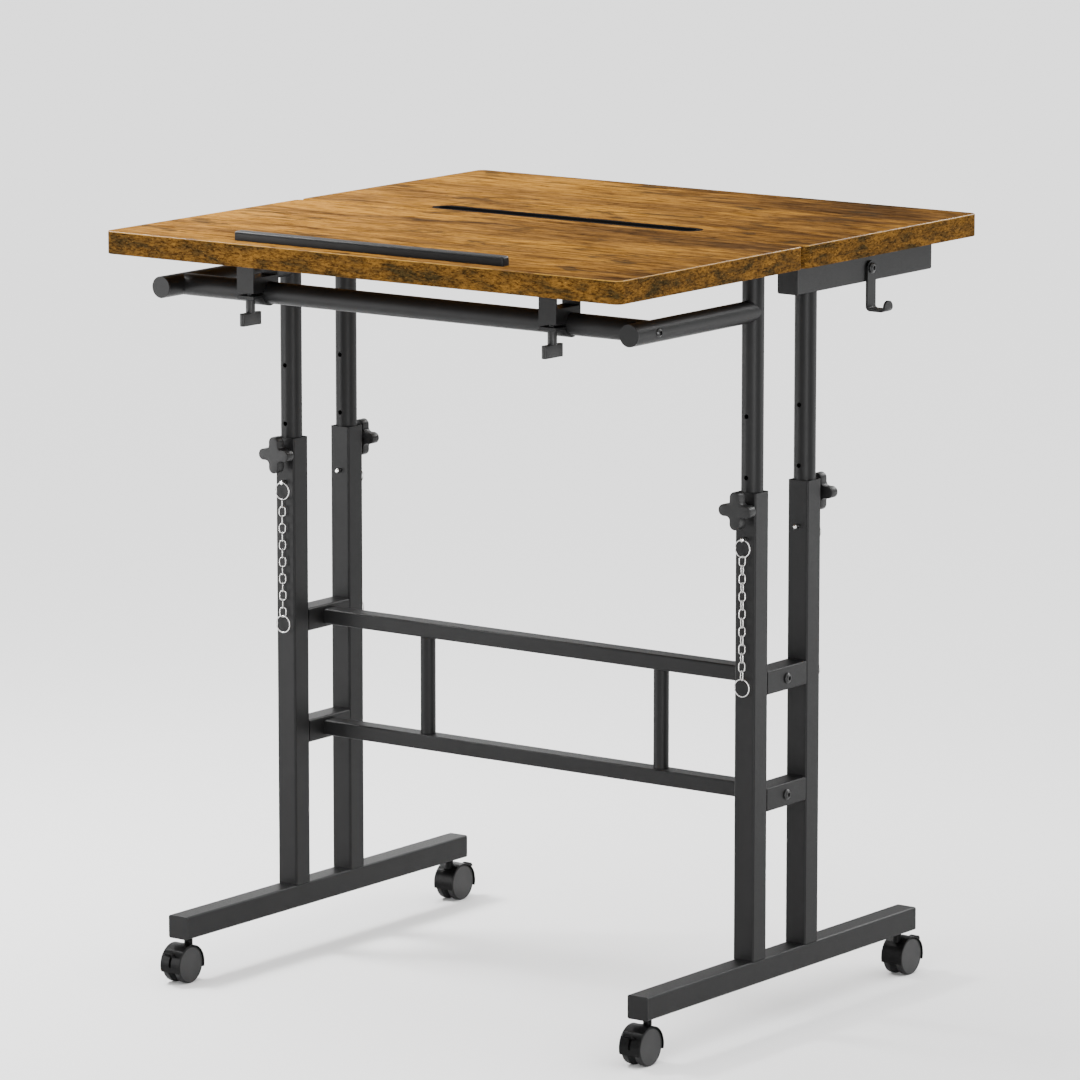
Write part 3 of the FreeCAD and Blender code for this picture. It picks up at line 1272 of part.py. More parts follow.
def make_caster_brake(row, side):
    """Make the brake lever: a blade outside the hood on a tongue that turns on the axle."""
    name = f"{row}_{side}_caster_brake"
    angle = SHEET.lever_angle
    blade_start = f"({HOOD_OUTSIDE} + lever_gap)"
    spread = math.degrees(math.atan2(SHEET.lever_thick / 2, SHEET.wheel_diameter / 2))
    tongue = sector(
        f"{name}_tongue", "axle_diameter", f"{blade_start} + lever_thick / 2", "tongue_thick",
        angle - spread, angle + spread
    )
    boss = rod(f"{name}_boss", "web_reach - lever_gap", "tongue_thick", ("-tongue_thick / 2",) + AXLE_AT, "x")
    half_width = "lever_width / 2"
    far = f"{HOOD_OUTSIDE} + lever_reach"
    outline = [
        (f"-{half_width}", blade_start),
        (half_width, blade_start),
        (half_width, far),
        (f"-{half_width}", far),
    ]
    blade = padded_body(f"{name}_blade", "XY_Plane", [outline], "lever_thick", midplane=True)
    dress(blade, "Fillet", "lever_thick", lambda edge: runs_along(edge, VECTOR(0, 0, 1)))
    turn = FreeCAD.Rotation(VECTOR(1, 0, 0), -angle).multiply(FreeCAD.Rotation(VECTOR(0, 0, 1), 180))
    place(blade, ("0",) + AXLE_AT, turn)
    blank = fuse(f"{name}_blank", [tongue, boss, blade])
    bore = rod(f"{name}_bore", AXLE_BORE, "2 * tongue_thick", ("-tongue_thick",) + AXLE_AT, "x")
    node(caster_place(cut(name, blank, [bore]), row, side), name)


def build():
    """Make every sub-part, from the floor up."""
    for side in SIDES:
        make_foot(side)
    make_foot_plugs()
    for row in OUTWARD:
        for side in SIDES:
            make_upright(row, side)
    make_knob_nuts()
    make_rungs()
    for level in RUNG_HEIGHTS:
        make_crossbar(level)
    make_struts()
    make_crossbar_screws()
    for side in SIDES:
        make_front_post(side)
        make_arm(side)
    make_cross_tube()
    make_cross_tube_screws()
    make_front_caps()
    make_front_panel()
    make_edge_stop()
    for side in SIDES:
        make_clamp(side)
        make_thumbscrew(side)
    make_clamp_screws()
    for side in SIDES:
        make_rear_post(side)
        make_rear_bar(side)
    make_bar_plugs()
    make_rear_panel()
    make_slot_liner()
    make_rear_frame_screws()
    make_hook()
    for row in OUTWARD:
        for side in SIDES:
            make_knob(row, side)
            make_pin(row, side)
            make_chain(row, side)
            make_caster_hood(row, side)
            make_caster_wheels(row, side)
            make_caster_brake(row, side)


def check():
    """Stop if any object failed or any sub-part has no valid solid."""
    DOCUMENT.recompute()
    for item in DOCUMENT.Objects:
        if "Invalid" in item.State or "Error" in item.State:
            raise RuntimeError(f"{item.Label} did not build: {item.State}")
    for item in NODES:
        if item.Shape.isNull() or not item.Shape.isValid() or not item.Shape.Solids:
            raise RuntimeError(f"{item.Label} has no valid solid")


def write():
    """Write each sub-part to its own file."""
    os.makedirs("parts", exist_ok=True)
    for item in NODES:
        item.Shape.exportStep(f"parts/{item.Label}.step")
        print(f"{item.Label}: {len(item.Shape.Solids)} solids, {item.Shape.Volume:.0f} mm3")
    print(f"{len(NODES)} sub-parts")


build()
check()
write()
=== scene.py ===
import json
import logging
import math
from abc import ABC, abstractmethod
from contextlib import contextmanager
from dataclasses import dataclass
from enum import Enum
from typing import Callable, Iterator, Sequence

import bmesh
import bpy
from mathutils import Matrix, Vector


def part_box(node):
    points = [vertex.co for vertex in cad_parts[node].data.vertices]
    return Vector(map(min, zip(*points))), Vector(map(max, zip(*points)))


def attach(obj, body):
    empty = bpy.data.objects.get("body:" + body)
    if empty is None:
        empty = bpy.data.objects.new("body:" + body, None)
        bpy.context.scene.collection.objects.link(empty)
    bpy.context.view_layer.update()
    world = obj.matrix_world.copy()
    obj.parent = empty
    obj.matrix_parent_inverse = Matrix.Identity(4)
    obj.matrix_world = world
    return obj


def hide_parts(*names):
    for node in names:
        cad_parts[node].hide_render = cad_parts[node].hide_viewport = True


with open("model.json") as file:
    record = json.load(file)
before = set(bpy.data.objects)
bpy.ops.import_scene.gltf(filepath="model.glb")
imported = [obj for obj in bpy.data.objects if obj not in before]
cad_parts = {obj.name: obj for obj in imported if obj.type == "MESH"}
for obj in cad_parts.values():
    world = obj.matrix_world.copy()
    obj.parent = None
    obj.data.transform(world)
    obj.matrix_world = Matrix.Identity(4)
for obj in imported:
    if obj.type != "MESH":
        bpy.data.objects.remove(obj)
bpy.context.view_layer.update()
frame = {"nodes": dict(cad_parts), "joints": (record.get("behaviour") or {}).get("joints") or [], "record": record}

# Values that the whole script uses, with lengths in metres

LOG = logging.getLogger("desk")
SIDES = ("left", "right")
# Which way along Y each row of legs looks
ROWS = {"front": -1.0, "rear": 1.0}
X_AXIS = Vector((1, 0, 0))
Y_AXIS = Vector((0, 1, 0))
Z_AXIS = Vector((0, 0, 1))
WHITE = (1.0, 1.0, 1.0)
# Places closer than this are one place
NEAR = 1e-5
# Least cosine between an edge and an axis that it runs along
ALONG = 0.999
# Least cosine between a face's normal and the way that the face looks
FACING = 0.99
# Least angle in degrees between the faces at a rim, at an edge that is eased and at one that is softened
RIM_ANGLE = 60.0
EASE_ANGLE = 35.0
SOFTEN_ANGLE = 38.0
# Greatest angle in degrees between two faces that are shaded as one
SMOOTH_ANGLE = 40.0
# Frame nodes with one of these words in their name have their sharp edges rounded, by this width and steps
SOFTENED = ("clamp", "hook", "brake", "plugs", "caps", "nuts", "screws")
SOFT_EDGE = 0.0003
SOFT_STEPS = 2
# Sides round a ring or link, and round its wire
RING_SIDES = 48
WIRE_SIDES = 12

Piece = bpy.types.Object
Material = bpy.types.Material
Socket = bpy.types.NodeSocket
Point = bmesh.types.BMVert
Edge = bmesh.types.BMEdge
Face = bmesh.types.BMFace
Span = tuple[float, float]
Triple = tuple[float, float, float]
Colour = tuple[float, float, float]
PointTest = Callable[[Point], bool]
EdgeTest = Callable[[Edge], bool]
FaceTest = Callable[[Face], bool]
PartTest = PointTest | EdgeTest | FaceTest


class Pick(Enum):
    """What an edit-mode selection is made of."""

    POINTS = "VERT"
    EDGES = "EDGE"
    FACES = "FACE"


class Mixing(Enum):
    """How two colours are mixed."""

    SHARE = "MIX"
    PRODUCT = "MULTIPLY"


class Sum(Enum):
    """What is worked out from two values."""

    TOTAL = "ADD"
    PRODUCT = "MULTIPLY"


class Slot(Enum):
    """Material slots of the record."""

    WOOD = "wood"
    COAT = "powder_coat"
    PLASTIC = "black_plastic"
    SCREW = "black_screw"
    WHEEL = "wheel_plastic"
    ZINC = "zinc"


# Modelling steps


def start_clean() -> None:
    """Leave nothing selected before an operator runs."""
    bpy.ops.object.select_all(action="DESELECT")


def activate(piece: Piece) -> None:
    """Select one piece alone and make it the active one.

    Args:
        piece: Piece that the next operator works on.
    """
    start_clean()
    piece.select_set(True)
    bpy.context.view_layer.objects.active = piece


def apply_step(piece: Piece, step: bpy.types.Modifier) -> None:
    """Apply one of a piece's modifiers."""
    activate(piece)
    bpy.ops.object.modifier_apply(modifier=step.name)


def name_piece(piece: Piece, name: str) -> None:
    """Name a piece and its mesh."""
    piece.name = name
    piece.data.name = name


def settle(name: str) -> Piece:
    """Name the new primitive and move its place into its mesh.

    Args:
        name: Name of the piece.

    Returns:
        The piece, at the origin, unturned and unscaled.
    """
    piece = bpy.context.view_layer.objects.active
    name_piece(piece, name)
    bpy.ops.object.transform_apply(location=True, rotation=True, scale=True)
    return piece


def add_block(name: str, low: Vector, high: Vector) -> Piece:
    """Add a block between two corners.

    Args:
        name: Name of the piece.
        low: Lowest corner.
        high: Highest corner.

    Returns:
        The block.
    """
    start_clean()
    bpy.ops.mesh.primitive_cube_add(size=1.0, location=(low + high) / 2, scale=high - low)
    return settle(name)


def add_bar(name: str, radius: float, start: Vector, end: Vector, sides: int) -> Piece:
    """Add a round bar between two points.

    Args:
        name: Name of the piece.
        radius: Radius of the bar.
        start: Middle of one end.
        end: Middle of the other end.
        sides: Number of sides.

    Returns:
        The bar.
    """
    start_clean()
    run = end - start
    turn = run.to_track_quat("Z", "Y").to_euler()
    bpy.ops.mesh.primitive_cylinder_add(
        vertices=sides, radius=radius, depth=run.length, location=(start + end) / 2, rotation=turn
    )
    return settle(name)


def add_ring(name: str, radius: float, wire: float, axis: Vector) -> Piece:
    """Add a wire ring about the origin.

    Args:
        name: Name of the piece.
        radius: Radius to the middle of the wire.
        wire: Diameter of the wire.
        axis: Axis of the ring.

    Returns:
        The ring.
    """
    start_clean()
    turn = axis.to_track_quat("Z", "Y").to_euler()
    bpy.ops.mesh.primitive_torus_add(
        major_radius=radius, minor_radius=wire / 2, major_segments=RING_SIDES, minor_segments=WIRE_SIDES,
        rotation=turn
    )
    return settle(name)


def select_parts(piece: Piece, pick: Pick, test: PartTest) -> None:
    """Enter edit mode with the points, edges or faces that pass a test selected.

    Args:
        piece: Piece to edit.
        pick: Points, edges or faces.
        test: Says whether one is selected.
    """
    activate(piece)
    bpy.ops.object.mode_set(mode="EDIT")
    bpy.ops.mesh.select_mode(type=pick.value)
    bpy.ops.mesh.select_all(action="DESELECT")
    shape = bmesh.from_edit_mesh(piece.data)
    for part in {Pick.POINTS: shape.verts, Pick.EDGES: shape.edges, Pick.FACES: shape.faces}[pick]:
        part.select_set(test(part))
    bmesh.update_edit_mesh(piece.data)


@contextmanager
def editing(piece: Piece, pick: Pick, test: PartTest) -> Iterator[None]:
    """Stay in edit mode while an operator works on the parts that pass a test.

    Args:
        piece: Piece to edit.
        pick: Points, edges or faces.
        test: Says whether one is selected.

    Yields:
        Nothing.
    """
    select_parts(piece, pick, test)
    yield
    bpy.ops.object.mode_set(mode="OBJECT")


def bevel(piece: Piece, width: float, steps: int, test: PartTest, pick: Pick = Pick.EDGES) -> None:
    """Round the edges or corner points that pass a test.

    Args:
        piece: Piece to round.
        width: Bevel width.
        steps: Steps across the bevel.
        test: Says whether an edge or point is rounded.
        pick: Edges or points.
    """
    affect = "VERTICES" if pick is Pick.POINTS else "EDGES"
    with editing(piece, pick, test):
        bpy.ops.mesh.bevel(offset=width, segments=steps, affect=affect, clamp_overlap=True)


def cut_away(piece: Piece, cutter: Piece) -> None:
    """Take a cutter's shape out of a piece and delete the cutter.

    Args:
        piece: Piece to cut.
        cutter: Shape that is taken away.
    """
    step = piece.modifiers.new("cut", "BOOLEAN")
    step.operation = "DIFFERENCE"
    step.solver = "EXACT"
    step.object = cutter
    apply_step(piece, step)
    bpy.data.objects.remove(cutter)


def ease_edges(piece: Piece, width: float, steps: int) -> None:
    """Round every sharp edge a little.

    Args:
        piece: Piece to round.
        width: Bevel width.
        steps: Steps across the bevel.
    """
    step = piece.modifiers.new("ease", "BEVEL")
    step.width = width
    step.segments = steps
    step.limit_method = "ANGLE"
    step.angle_limit = math.radians(EASE_ANGLE)
    apply_step(piece, step)


def thicken(piece: Piece, wall: float) -> None:
    """Give an open shell a wall, inwards.

    Args:
        piece: Shell to thicken.
        wall: Thickness of the wall.
    """
    step = piece.modifiers.new("wall", "SOLIDIFY")
    step.thickness = wall
    step.offset = -1.0
    apply_step(piece, step)


def join(name: str, pieces: Sequence[Piece]) -> Piece:
    """Join pieces into one object.

    Args:
        name: Name of the joined piece.
        pieces: Pieces to join.

    Returns:
        The joined piece.
    """
    activate(pieces[0])
    for piece in pieces:
        piece.select_set(True)
    bpy.ops.object.join()
    name_piece(pieces[0], name)
    return pieces[0]


def copied(piece: Piece, name: str, change: Matrix) -> Piece:
    """Copy a piece with its own mesh and move the copy.

    Args:
        piece: Piece to copy.
        name: Name of the copy.
        change: Turn and move of the copy.

    Returns:
        The copy, at the origin.
    """
    twin = piece.copy()
    twin.data = piece.data.copy()
    name_piece(twin, name)
    twin.data.transform(change)
    bpy.context.scene.collection.objects.link(twin)
    return twin


def discard(*patterns: Piece) -> None:
    """Delete the patterns that copies were made from."""
    for pattern in patterns:
        bpy.data.objects.remove(pattern)


def shade(piece: Piece) -> None:
    """Smooth the shading across gentle edges."""
    activate(piece)
    bpy.ops.object.shade_smooth_by_angle(angle=math.radians(SMOOTH_ANGLE))


# Tests and places


def runs_along(edge: Edge, axis: Vector) -> bool:
    """Tell whether an edge is parallel to an axis."""
    run = edge.verts[1].co - edge.verts[0].co
    return run.length > NEAR and abs(run.normalized().dot(axis)) > ALONG


def lies_at(edge: Edge, axis: Vector, *levels: float) -> bool:
    """Tell whether both ends of an edge lie at one of some levels along an axis."""
    return any(all(abs(end.co.dot(axis) - level) < NEAR for end in edge.verts) for level in levels)


def is_rim(edge: Edge) -> bool:
    """Tell whether an edge turns a corner of about a right angle."""
    return edge.is_manifold and edge.calc_face_angle(0.0) > math.radians(RIM_ANGLE)


def rim_at(axis: Vector, *levels: float) -> EdgeTest:
    """Give a test for the rims that lie at one of some levels along an axis."""
    return lambda edge: lies_at(edge, axis, *levels) and is_rim(edge)


def faces_to(direction: Vector) -> FaceTest:
    """Give a test for the faces that look one way."""
    return lambda face: face.normal.dot(direction) > FACING


def centred_at(place: Vector) -> FaceTest:
    """Give a test for the face whose middle is at a place."""
    return lambda face: (face.calc_center_median() - place).length < NEAR


def turn_about(axle: Vector, place: Vector) -> float:
    """Give a place's angle about an axle along X, from -90 to 270 degrees, with 0 ahead and 90 above."""
    ray = place - axle
    return (math.degrees(math.atan2(ray.z, -ray.y)) + 90.0) % 360.0 - 90.0


def legs() -> Iterator[tuple[str, float]]:
    """Give each leg's name, and which way along Y it looks."""
    return ((f"{row}_{side}", out) for row, out in ROWS.items() for side in SIDES)


def looking(out: float) -> Matrix:
    """Give the turn about Z that makes a front leg's part fit a leg that looks this way along Y."""
    return Matrix.Rotation(0.0 if out < 0 else math.pi, 4, "Z")


def stem_axis(leg: str) -> Vector:
    """Give the point on the floor below a caster's swivel."""
    swivel = next(joint for joint in frame["joints"] if joint["name"] == f"{leg}_caster_swivel")
    return Vector((*swivel["pos_m"][:2], 0.0))


# Materials


@dataclass(frozen=True)
class Layer:
    """One layer of noise in a pattern.

    Attributes:
        scale: Blobs per metre.
        detail: Octaves of finer noise.
        rough: Weight of the finer noise.
        warp: Distortion.
        stretch: Factors on the place along X, Y and Z.
        turn: Turn about Z, in degrees.
    """

    scale: float
    detail: float
    rough: float
    warp: float = 0.0
    stretch: Triple = (1.0, 1.0, 1.0)
    turn: float = 0.0


@dataclass(frozen=True)
class Tint:
    """A darker shade where a noise is low: full up to one value of it, gone from another."""

    shade: Colour
    full: float
    gone: float


class Wiring:
    """A material while its nodes are put together."""

    def __init__(self, name: str) -> None:
        """Start a material with its shader and its object coordinates.

        Args:
            name: Name of the material.
        """
        self.material = bpy.data.materials.new(name)
        self.material.use_nodes = True
        self.tree = self.material.node_tree
        self.shader = self.tree.nodes["Principled BSDF"]
        self.place = self.add("ShaderNodeTexCoord").outputs["Object"]

    def feed(self, socket: Socket, value: object) -> None:
        """Link a socket to another, or set it to a plain value.

        Args:
            socket: Socket that is fed.
            value: Another socket, a number, a vector or a colour.
        """
        if isinstance(value, Socket):
            self.tree.links.new(value, socket)
        elif socket.type == "RGBA":
            socket.default_value = (*value, 1.0)
        else:
            socket.default_value = value

    def fill(self, node: bpy.types.Node, inputs: dict[str, object]) -> None:
        """Feed a node's sockets, named with underscores for spaces."""
        for name, value in inputs.items():
            self.feed(node.inputs[name.replace("_", " ")], value)

    def add(self, kind: str, **inputs: object) -> bpy.types.Node:
        """Add a node.

        Args:
            kind: Kind of node.
            inputs: What its sockets are fed, named with underscores for spaces.

        Returns:
            The node.
        """
        node = self.tree.nodes.new(kind)
        self.fill(node, inputs)
        return node

    def layer(self, layer: Layer) -> Socket:
        """Give the noise of a layer.

        Args:
            layer: Layer of the pattern.

        Returns:
            The noise, from 0 to 1.
        """
        turn = (0.0, 0.0, math.radians(layer.turn))
        mapped = self.add("ShaderNodeMapping", Vector=self.place, Scale=layer.stretch, Rotation=turn)
        noise = self.add(
            "ShaderNodeTexNoise", Vector=mapped.outputs["Vector"], Scale=layer.scale, Detail=layer.detail,
            Roughness=layer.rough, Distortion=layer.warp
        )
        return noise.outputs["Fac"]

    def ramp(self, value: Socket, places: Sequence[float], colours: Sequence[Colour]) -> Socket:
        """Give a colour for a value.

        Args:
            value: Value from 0 to 1.
            places: Values that have a colour of their own.
            colours: Their colours.

        Returns:
            The colour.
        """
        node = self.add("ShaderNodeValToRGB", Fac=value)
        marks = node.color_ramp.elements
        while len(marks) < len(places):
            marks.new(0.5)
        for mark, place, colour in zip(marks, places, colours):
            mark.position = place
            mark.color = (*colour, 1.0)
        return node.outputs["Color"]

    def between(self, value: Socket, part: Span, to: Span) -> Socket:
        """Stretch part of a value's range over another range.

        Args:
            value: Value to stretch.
            part: Lowest and highest value that count.
            to: Range of the result.

        Returns:
            The new value.
        """
        limits = {"From Min": part[0], "From Max": part[1], "To Min": to[0], "To Max": to[1]}
        node = self.add("ShaderNodeMapRange", Value=value, **limits)
        node.interpolation_type = "SMOOTHSTEP"
        return node.outputs["Result"]

    def combined(self, way: Sum, first: Socket, second: Socket) -> Socket:
        """Give the sum or product of two values.

        Args:
            way: What is worked out.
            first: First value.
            second: Second value.

        Returns:
            The result.
        """
        node = self.add("ShaderNodeMath")
        node.operation = way.value
        self.feed(node.inputs[0], first)
        self.feed(node.inputs[1], second)
        return node.outputs["Value"]

    def along_grain(self) -> Socket:
        """Give the place along X, in metres."""
        return self.add("ShaderNodeSeparateXYZ", Vector=self.place).outputs["X"]

    def blend(
        self, share: Socket | float, first: Socket, second: Socket | Colour, way: Mixing = Mixing.SHARE
    ) -> Socket:
        """Mix two colours.

        Args:
            share: Share of the second colour.
            first: First colour.
            second: Second colour.
            way: How they are mixed.

        Returns:
            The mixed colour.
        """
        node = self.add("ShaderNodeMix")
        node.data_type = "RGBA"
        node.blend_type = way.value
        sockets = [socket for socket in node.inputs if socket.enabled]
        for socket, value in zip(sockets, (share, first, second)):
            self.feed(socket, value)
        return next(socket for socket in node.outputs if socket.enabled)

    def darkened(self, colour: Socket, noise: Socket, tint: Tint) -> Socket:
        """Give a colour that is darker where a noise is low."""
        shade_of = self.ramp(noise, (tint.full, tint.gone), (tint.shade, WHITE))
        return self.blend(1.0, colour, shade_of, Mixing.PRODUCT)

    def bump(self, height: Socket, depth: float, strength: float) -> None:
        """Raise the surface, by depth in metres where the height is 1, at some share of full strength."""
        node = self.add("ShaderNodeBump", Height=height, Distance=depth, Strength=strength)
        self.feed(self.shader.inputs["Normal"], node.outputs["Normal"])

    def finished(self, **inputs: object) -> Material:
        """Feed the shader's sockets, named with underscores for spaces, and give the material."""
        self.fill(self.shader, inputs)
        return self.material


@dataclass(frozen=True)
class Laminate:
    """Rustic wood-print laminate on the panels' broad faces, with its grain along X."""

    tones: tuple[Colour, ...] = ((0.068, 0.034, 0.0125), (0.176, 0.084, 0.0205), (0.305, 0.144, 0.0245))
    tones_at: Triple = (0.39, 0.49, 0.59)
    bands: Layer = Layer(10.0, 4.0, 0.6, 0.6, (0.28, 1.0, 1.0), 2.0)
    streaks: Layer = Layer(60.0, 6.0, 0.66, 0.5, (0.17, 1.0, 1.0), 1.5)
    streak_share: float = 0.45
    half_length: float = 0.3
    # Painted light falloff: shifts the tone lighter at the left end and darker at the right end
    painted_light_drift: Span = (0.045, -0.045)
    veins: Layer = Layer(130.0, 5.0, 0.7, 0.4, (0.15, 1.0, 1.0), 2.5)
    vein_tint: Tint = Tint((0.50, 0.47, 0.45), 0.36, 0.5)
    pits: Layer = Layer(190.0, 5.0, 0.75, 0.3, (0.42, 1.0, 1.0), 3.0)
    pit_tint: Tint = Tint((0.50, 0.45, 0.42), 0.34, 0.47)
    grain: Layer = Layer(420.0, 3.0, 0.6, 0.0, (0.08, 1.0, 1.0), 2.0)
    grain_tint: Tint = Tint((0.50, 0.48, 0.46), 0.36, 0.56)
    knots: Layer = Layer(30.0, 6.0, 0.6, 0.8, (0.42, 1.0, 1.0), -2.0)
    knots_at: Span = (0.555, 0.64)
    knot_share: Span = (0.0, 0.95)
    knot_veins_at: Span = (0.34, 0.6)
    knot_vein_share: Span = (1.0, 0.45)
    smear: Colour = (0.024, 0.0170, 0.0100)
    relief: float = 0.0002
    relief_share: float = 0.45
    grain_part: Span = (0.3, 0.7)
    roughness: Span = (0.58, 0.45)
    specular: float = 0.001

    def material(self, name: str) -> Material:
        """Make the material: broad bands, streaks, veins, pits and grain, dark smears, a painted light falloff
        from left to right, and a faint relief.

        Args:
            name: Name of the material.

        Returns:
            The material.
        """
        wiring = Wiring(name)
        # Painted light falloff along X: lighter to the left, darker to the right
        painted_light_drift = wiring.between(wiring.along_grain(), (-self.half_length, self.half_length), self.painted_light_drift)
        figure = wiring.blend(self.streak_share, wiring.layer(self.bands), wiring.layer(self.streaks))
        colour = wiring.ramp(wiring.combined(Sum.TOTAL, figure, painted_light_drift), self.tones_at, self.tones)
        vein = wiring.layer(self.veins)
        grain = wiring.layer(self.grain)
        colour = wiring.darkened(colour, vein, self.vein_tint)
        colour = wiring.darkened(colour, wiring.layer(self.pits), self.pit_tint)
        colour = wiring.darkened(colour, grain, self.grain_tint)
        spots = wiring.between(wiring.layer(self.knots), self.knots_at, self.knot_share)
        through = wiring.between(vein, self.knot_veins_at, self.knot_vein_share)
        colour = wiring.blend(wiring.combined(Sum.PRODUCT, spots, through), colour, self.smear)
        wiring.bump(grain, self.relief, self.relief_share)
        rough = wiring.between(grain, self.grain_part, self.roughness)
        return wiring.finished(Base_Color=colour, Roughness=rough, Specular_IOR_Level=self.specular)


@dataclass(frozen=True)
class EdgeBand:
    """Printed band round the panels' sides: gold mottled with dark brown."""

    tones: tuple[Colour, ...] = ((0.042, 0.0275, 0.0095), (0.108, 0.053, 0.0120), (0.190, 0.091, 0.0170))
    tones_at: Triple = (0.38, 0.49, 0.62)
    blotches: Layer = Layer(95.0, 7.0, 0.72, 0.4, (0.28, 0.28, 1.0))
    grit: Layer = Layer(620.0, 4.0, 0.72, 0.0, (0.38, 0.38, 1.0))
    grit_tint: Tint = Tint((0.30, 0.28, 0.26), 0.38, 0.56)
    flecks: Layer = Layer(700.0, 2.0, 0.5, 0.0, (0.4, 0.4, 1.0))
    flecks_at: Span = (0.62, 0.72)
    fleck_share: Span = (0.0, 0.8)
    fleck: Colour = (0.38, 0.19, 0.040)
    relief: float = 0.0002
    relief_share: float = 0.3
    roughness: float = 0.48
    specular: float = 0.006

    def material(self, name: str) -> Material:
        """Make the material: soft blotches, gritty mottling and small bright flecks.

        Args:
            name: Name of the material.

        Returns:
            The material.
        """
        wiring = Wiring(name)
        blotch = wiring.layer(self.blotches)
        grit = wiring.layer(self.grit)
        colour = wiring.darkened(wiring.ramp(blotch, self.tones_at, self.tones), grit, self.grit_tint)
        flecks = wiring.between(wiring.layer(self.flecks), self.flecks_at, self.fleck_share)
        colour = wiring.blend(wiring.combined(Sum.PRODUCT, flecks, blotch), colour, self.fleck)
        wiring.bump(grit, self.relief, self.relief_share)
        return wiring.finished(
            Base_Color=colour, Roughness=self.roughness, Specular_IOR_Level=self.specular
        )


@dataclass(frozen=True)
class PaintedHighlightRim:
    """Rounded upper rim painted a lighter gold: a painted highlight."""

    tones: tuple[Colour, ...] = ((0.10, 0.045, 0.008), (0.290, 0.150, 0.020))
    tones_at: Span = (0.36, 0.56)
    nicks: Layer = Layer(120.0, 5.0, 0.7, 0.4, (0.35, 0.35, 1.0))
    relief: float = 0.0002
    relief_share: float = 0.3
    roughness: float = 0.32
    specular: float = 0.15

    def material(self, name: str) -> Material:
        """Make the material: light gold, a painted highlight, with darker nicks.

        Args:
            name: Name of the material.

        Returns:
            The material.
        """
        wiring = Wiring(name)
        nicks = wiring.layer(self.nicks)
        colour = wiring.ramp(nicks, self.tones_at, self.tones)
        wiring.bump(nicks, self.relief, self.relief_share)
        return wiring.finished(
            Base_Color=colour, Roughness=self.roughness, Specular_IOR_Level=self.specular
        )


@dataclass(frozen=True)
class Coating:
    """Black surface with a fine grain of some scale and depth: powder coat or moulded plastic."""

    colour: Colour
    rough: float
    grain: float
    depth: float
    specular: float
    clouds: Layer = Layer(35.0, 4.0, 0.6)
    clouds_at: Span = (0.35, 0.65)
    cloud_factors: Span = (0.9, 1.1)
    grain_detail: float = 2.0
    grain_rough: float = 0.5
    grain_part: Span = (0.3, 0.7)
    relief_share: float = 0.6
    rough_change: float = 0.06

    def material(self, name: str) -> Material:
        """Make the material: faint cloudiness and a fine pebbled relief.

        Args:
            name: Name of the material.

        Returns:
            The material.
        """
        wiring = Wiring(name)
        tones = [tuple(channel * factor for channel in self.colour) for factor in self.cloud_factors]
        colour = wiring.ramp(wiring.layer(self.clouds), self.clouds_at, tones)
        pebbles = wiring.layer(Layer(self.grain, self.grain_detail, self.grain_rough))
        wiring.bump(pebbles, self.depth, self.relief_share)
        rough_span = (self.rough + self.rough_change, self.rough - self.rough_change)
        rough = wiring.between(pebbles, self.grain_part, rough_span)
        return wiring.finished(Base_Color=colour, Roughness=rough, Specular_IOR_Level=self.specular)


@dataclass(frozen=True)
class BarePlate:
    """Plated steel, a little duller in patches."""

    tones: tuple[Colour, ...] = ((0.4816, 0.4773, 0.4687), (0.56, 0.555, 0.545))
    patches: Layer = Layer(300.0, 4.0, 0.6)
    patches_at: Span = (0.3, 0.7)
    roughness: Span = (0.36, 0.21)
    relief: float = 0.00003
    relief_share: float = 0.4

    def material(self, name: str) -> Material:
        """Make the material: bright metal with faint patches.

        Args:
            name: Name of the material.

        Returns:
            The material.
        """
        wiring = Wiring(name)
        patch = wiring.layer(self.patches)
        colour = wiring.ramp(patch, self.patches_at, self.tones)
        rough = wiring.between(patch, self.patches_at, self.roughness)
        wiring.bump(patch, self.relief, self.relief_share)
        return wiring.finished(Base_Color=colour, Roughness=rough, Metallic=1.0)


class Finish(Enum):
    """The desk's finishes."""

    LAMINATE = Laminate()
    EDGE_BAND = EdgeBand()
    # Upper rims painted a lighter gold: a painted highlight
    WORN_RIM = PaintedHighlightRim()
    POWDER_COAT = Coating((0.0068, 0.0068, 0.007), rough=0.46, grain=1400, depth=0.00012, specular=0.135)
    MOULDED_PLASTIC = Coating((0.0075, 0.0075, 0.0077), rough=0.4, grain=2200, depth=0.00005, specular=0.13)
    MATTE_PLASTIC = Coating((0.006, 0.006, 0.0061), rough=0.6, grain=1600, depth=0.00008, specular=0.004)
    SATIN_KNOB = Coating((0.0115, 0.0115, 0.0117), rough=0.4, grain=1900, depth=0.00005, specular=0.14)
    BLACK_SCREW = Coating((0.01, 0.01, 0.01), rough=0.34, grain=3000, depth=0.00002, specular=0.3)
    WHEEL_DISC = Coating((0.026, 0.026, 0.0263), rough=0.46, grain=1800, depth=0.00005, specular=0.16)
    # Darker than the discs: the tyre's tone, and painted shade on the tilted bevel rings round the discs
    WHEEL_TYRE = Coating((0.01, 0.01, 0.0102), rough=0.5, grain=1500, depth=0.00008, specular=0.15)
    GLOSSY_PLASTIC = Coating((0.004, 0.004, 0.0041), rough=0.3, grain=2400, depth=0.00003, specular=0.07)
    HAMMERED_COAT = Coating((0.012, 0.012, 0.0122), rough=0.42, grain=850, depth=0.0004, specular=0.2)
    ZINC_PLATE = BarePlate()


SLOT_FINISH = {
    Slot.WOOD: Finish.EDGE_BAND,
    Slot.COAT: Finish.POWDER_COAT,
    Slot.PLASTIC: Finish.MOULDED_PLASTIC,
    Slot.SCREW: Finish.BLACK_SCREW,
    Slot.WHEEL: Finish.WHEEL_DISC,
    Slot.ZINC: Finish.ZINC_PLATE,
}


# Frame nodes


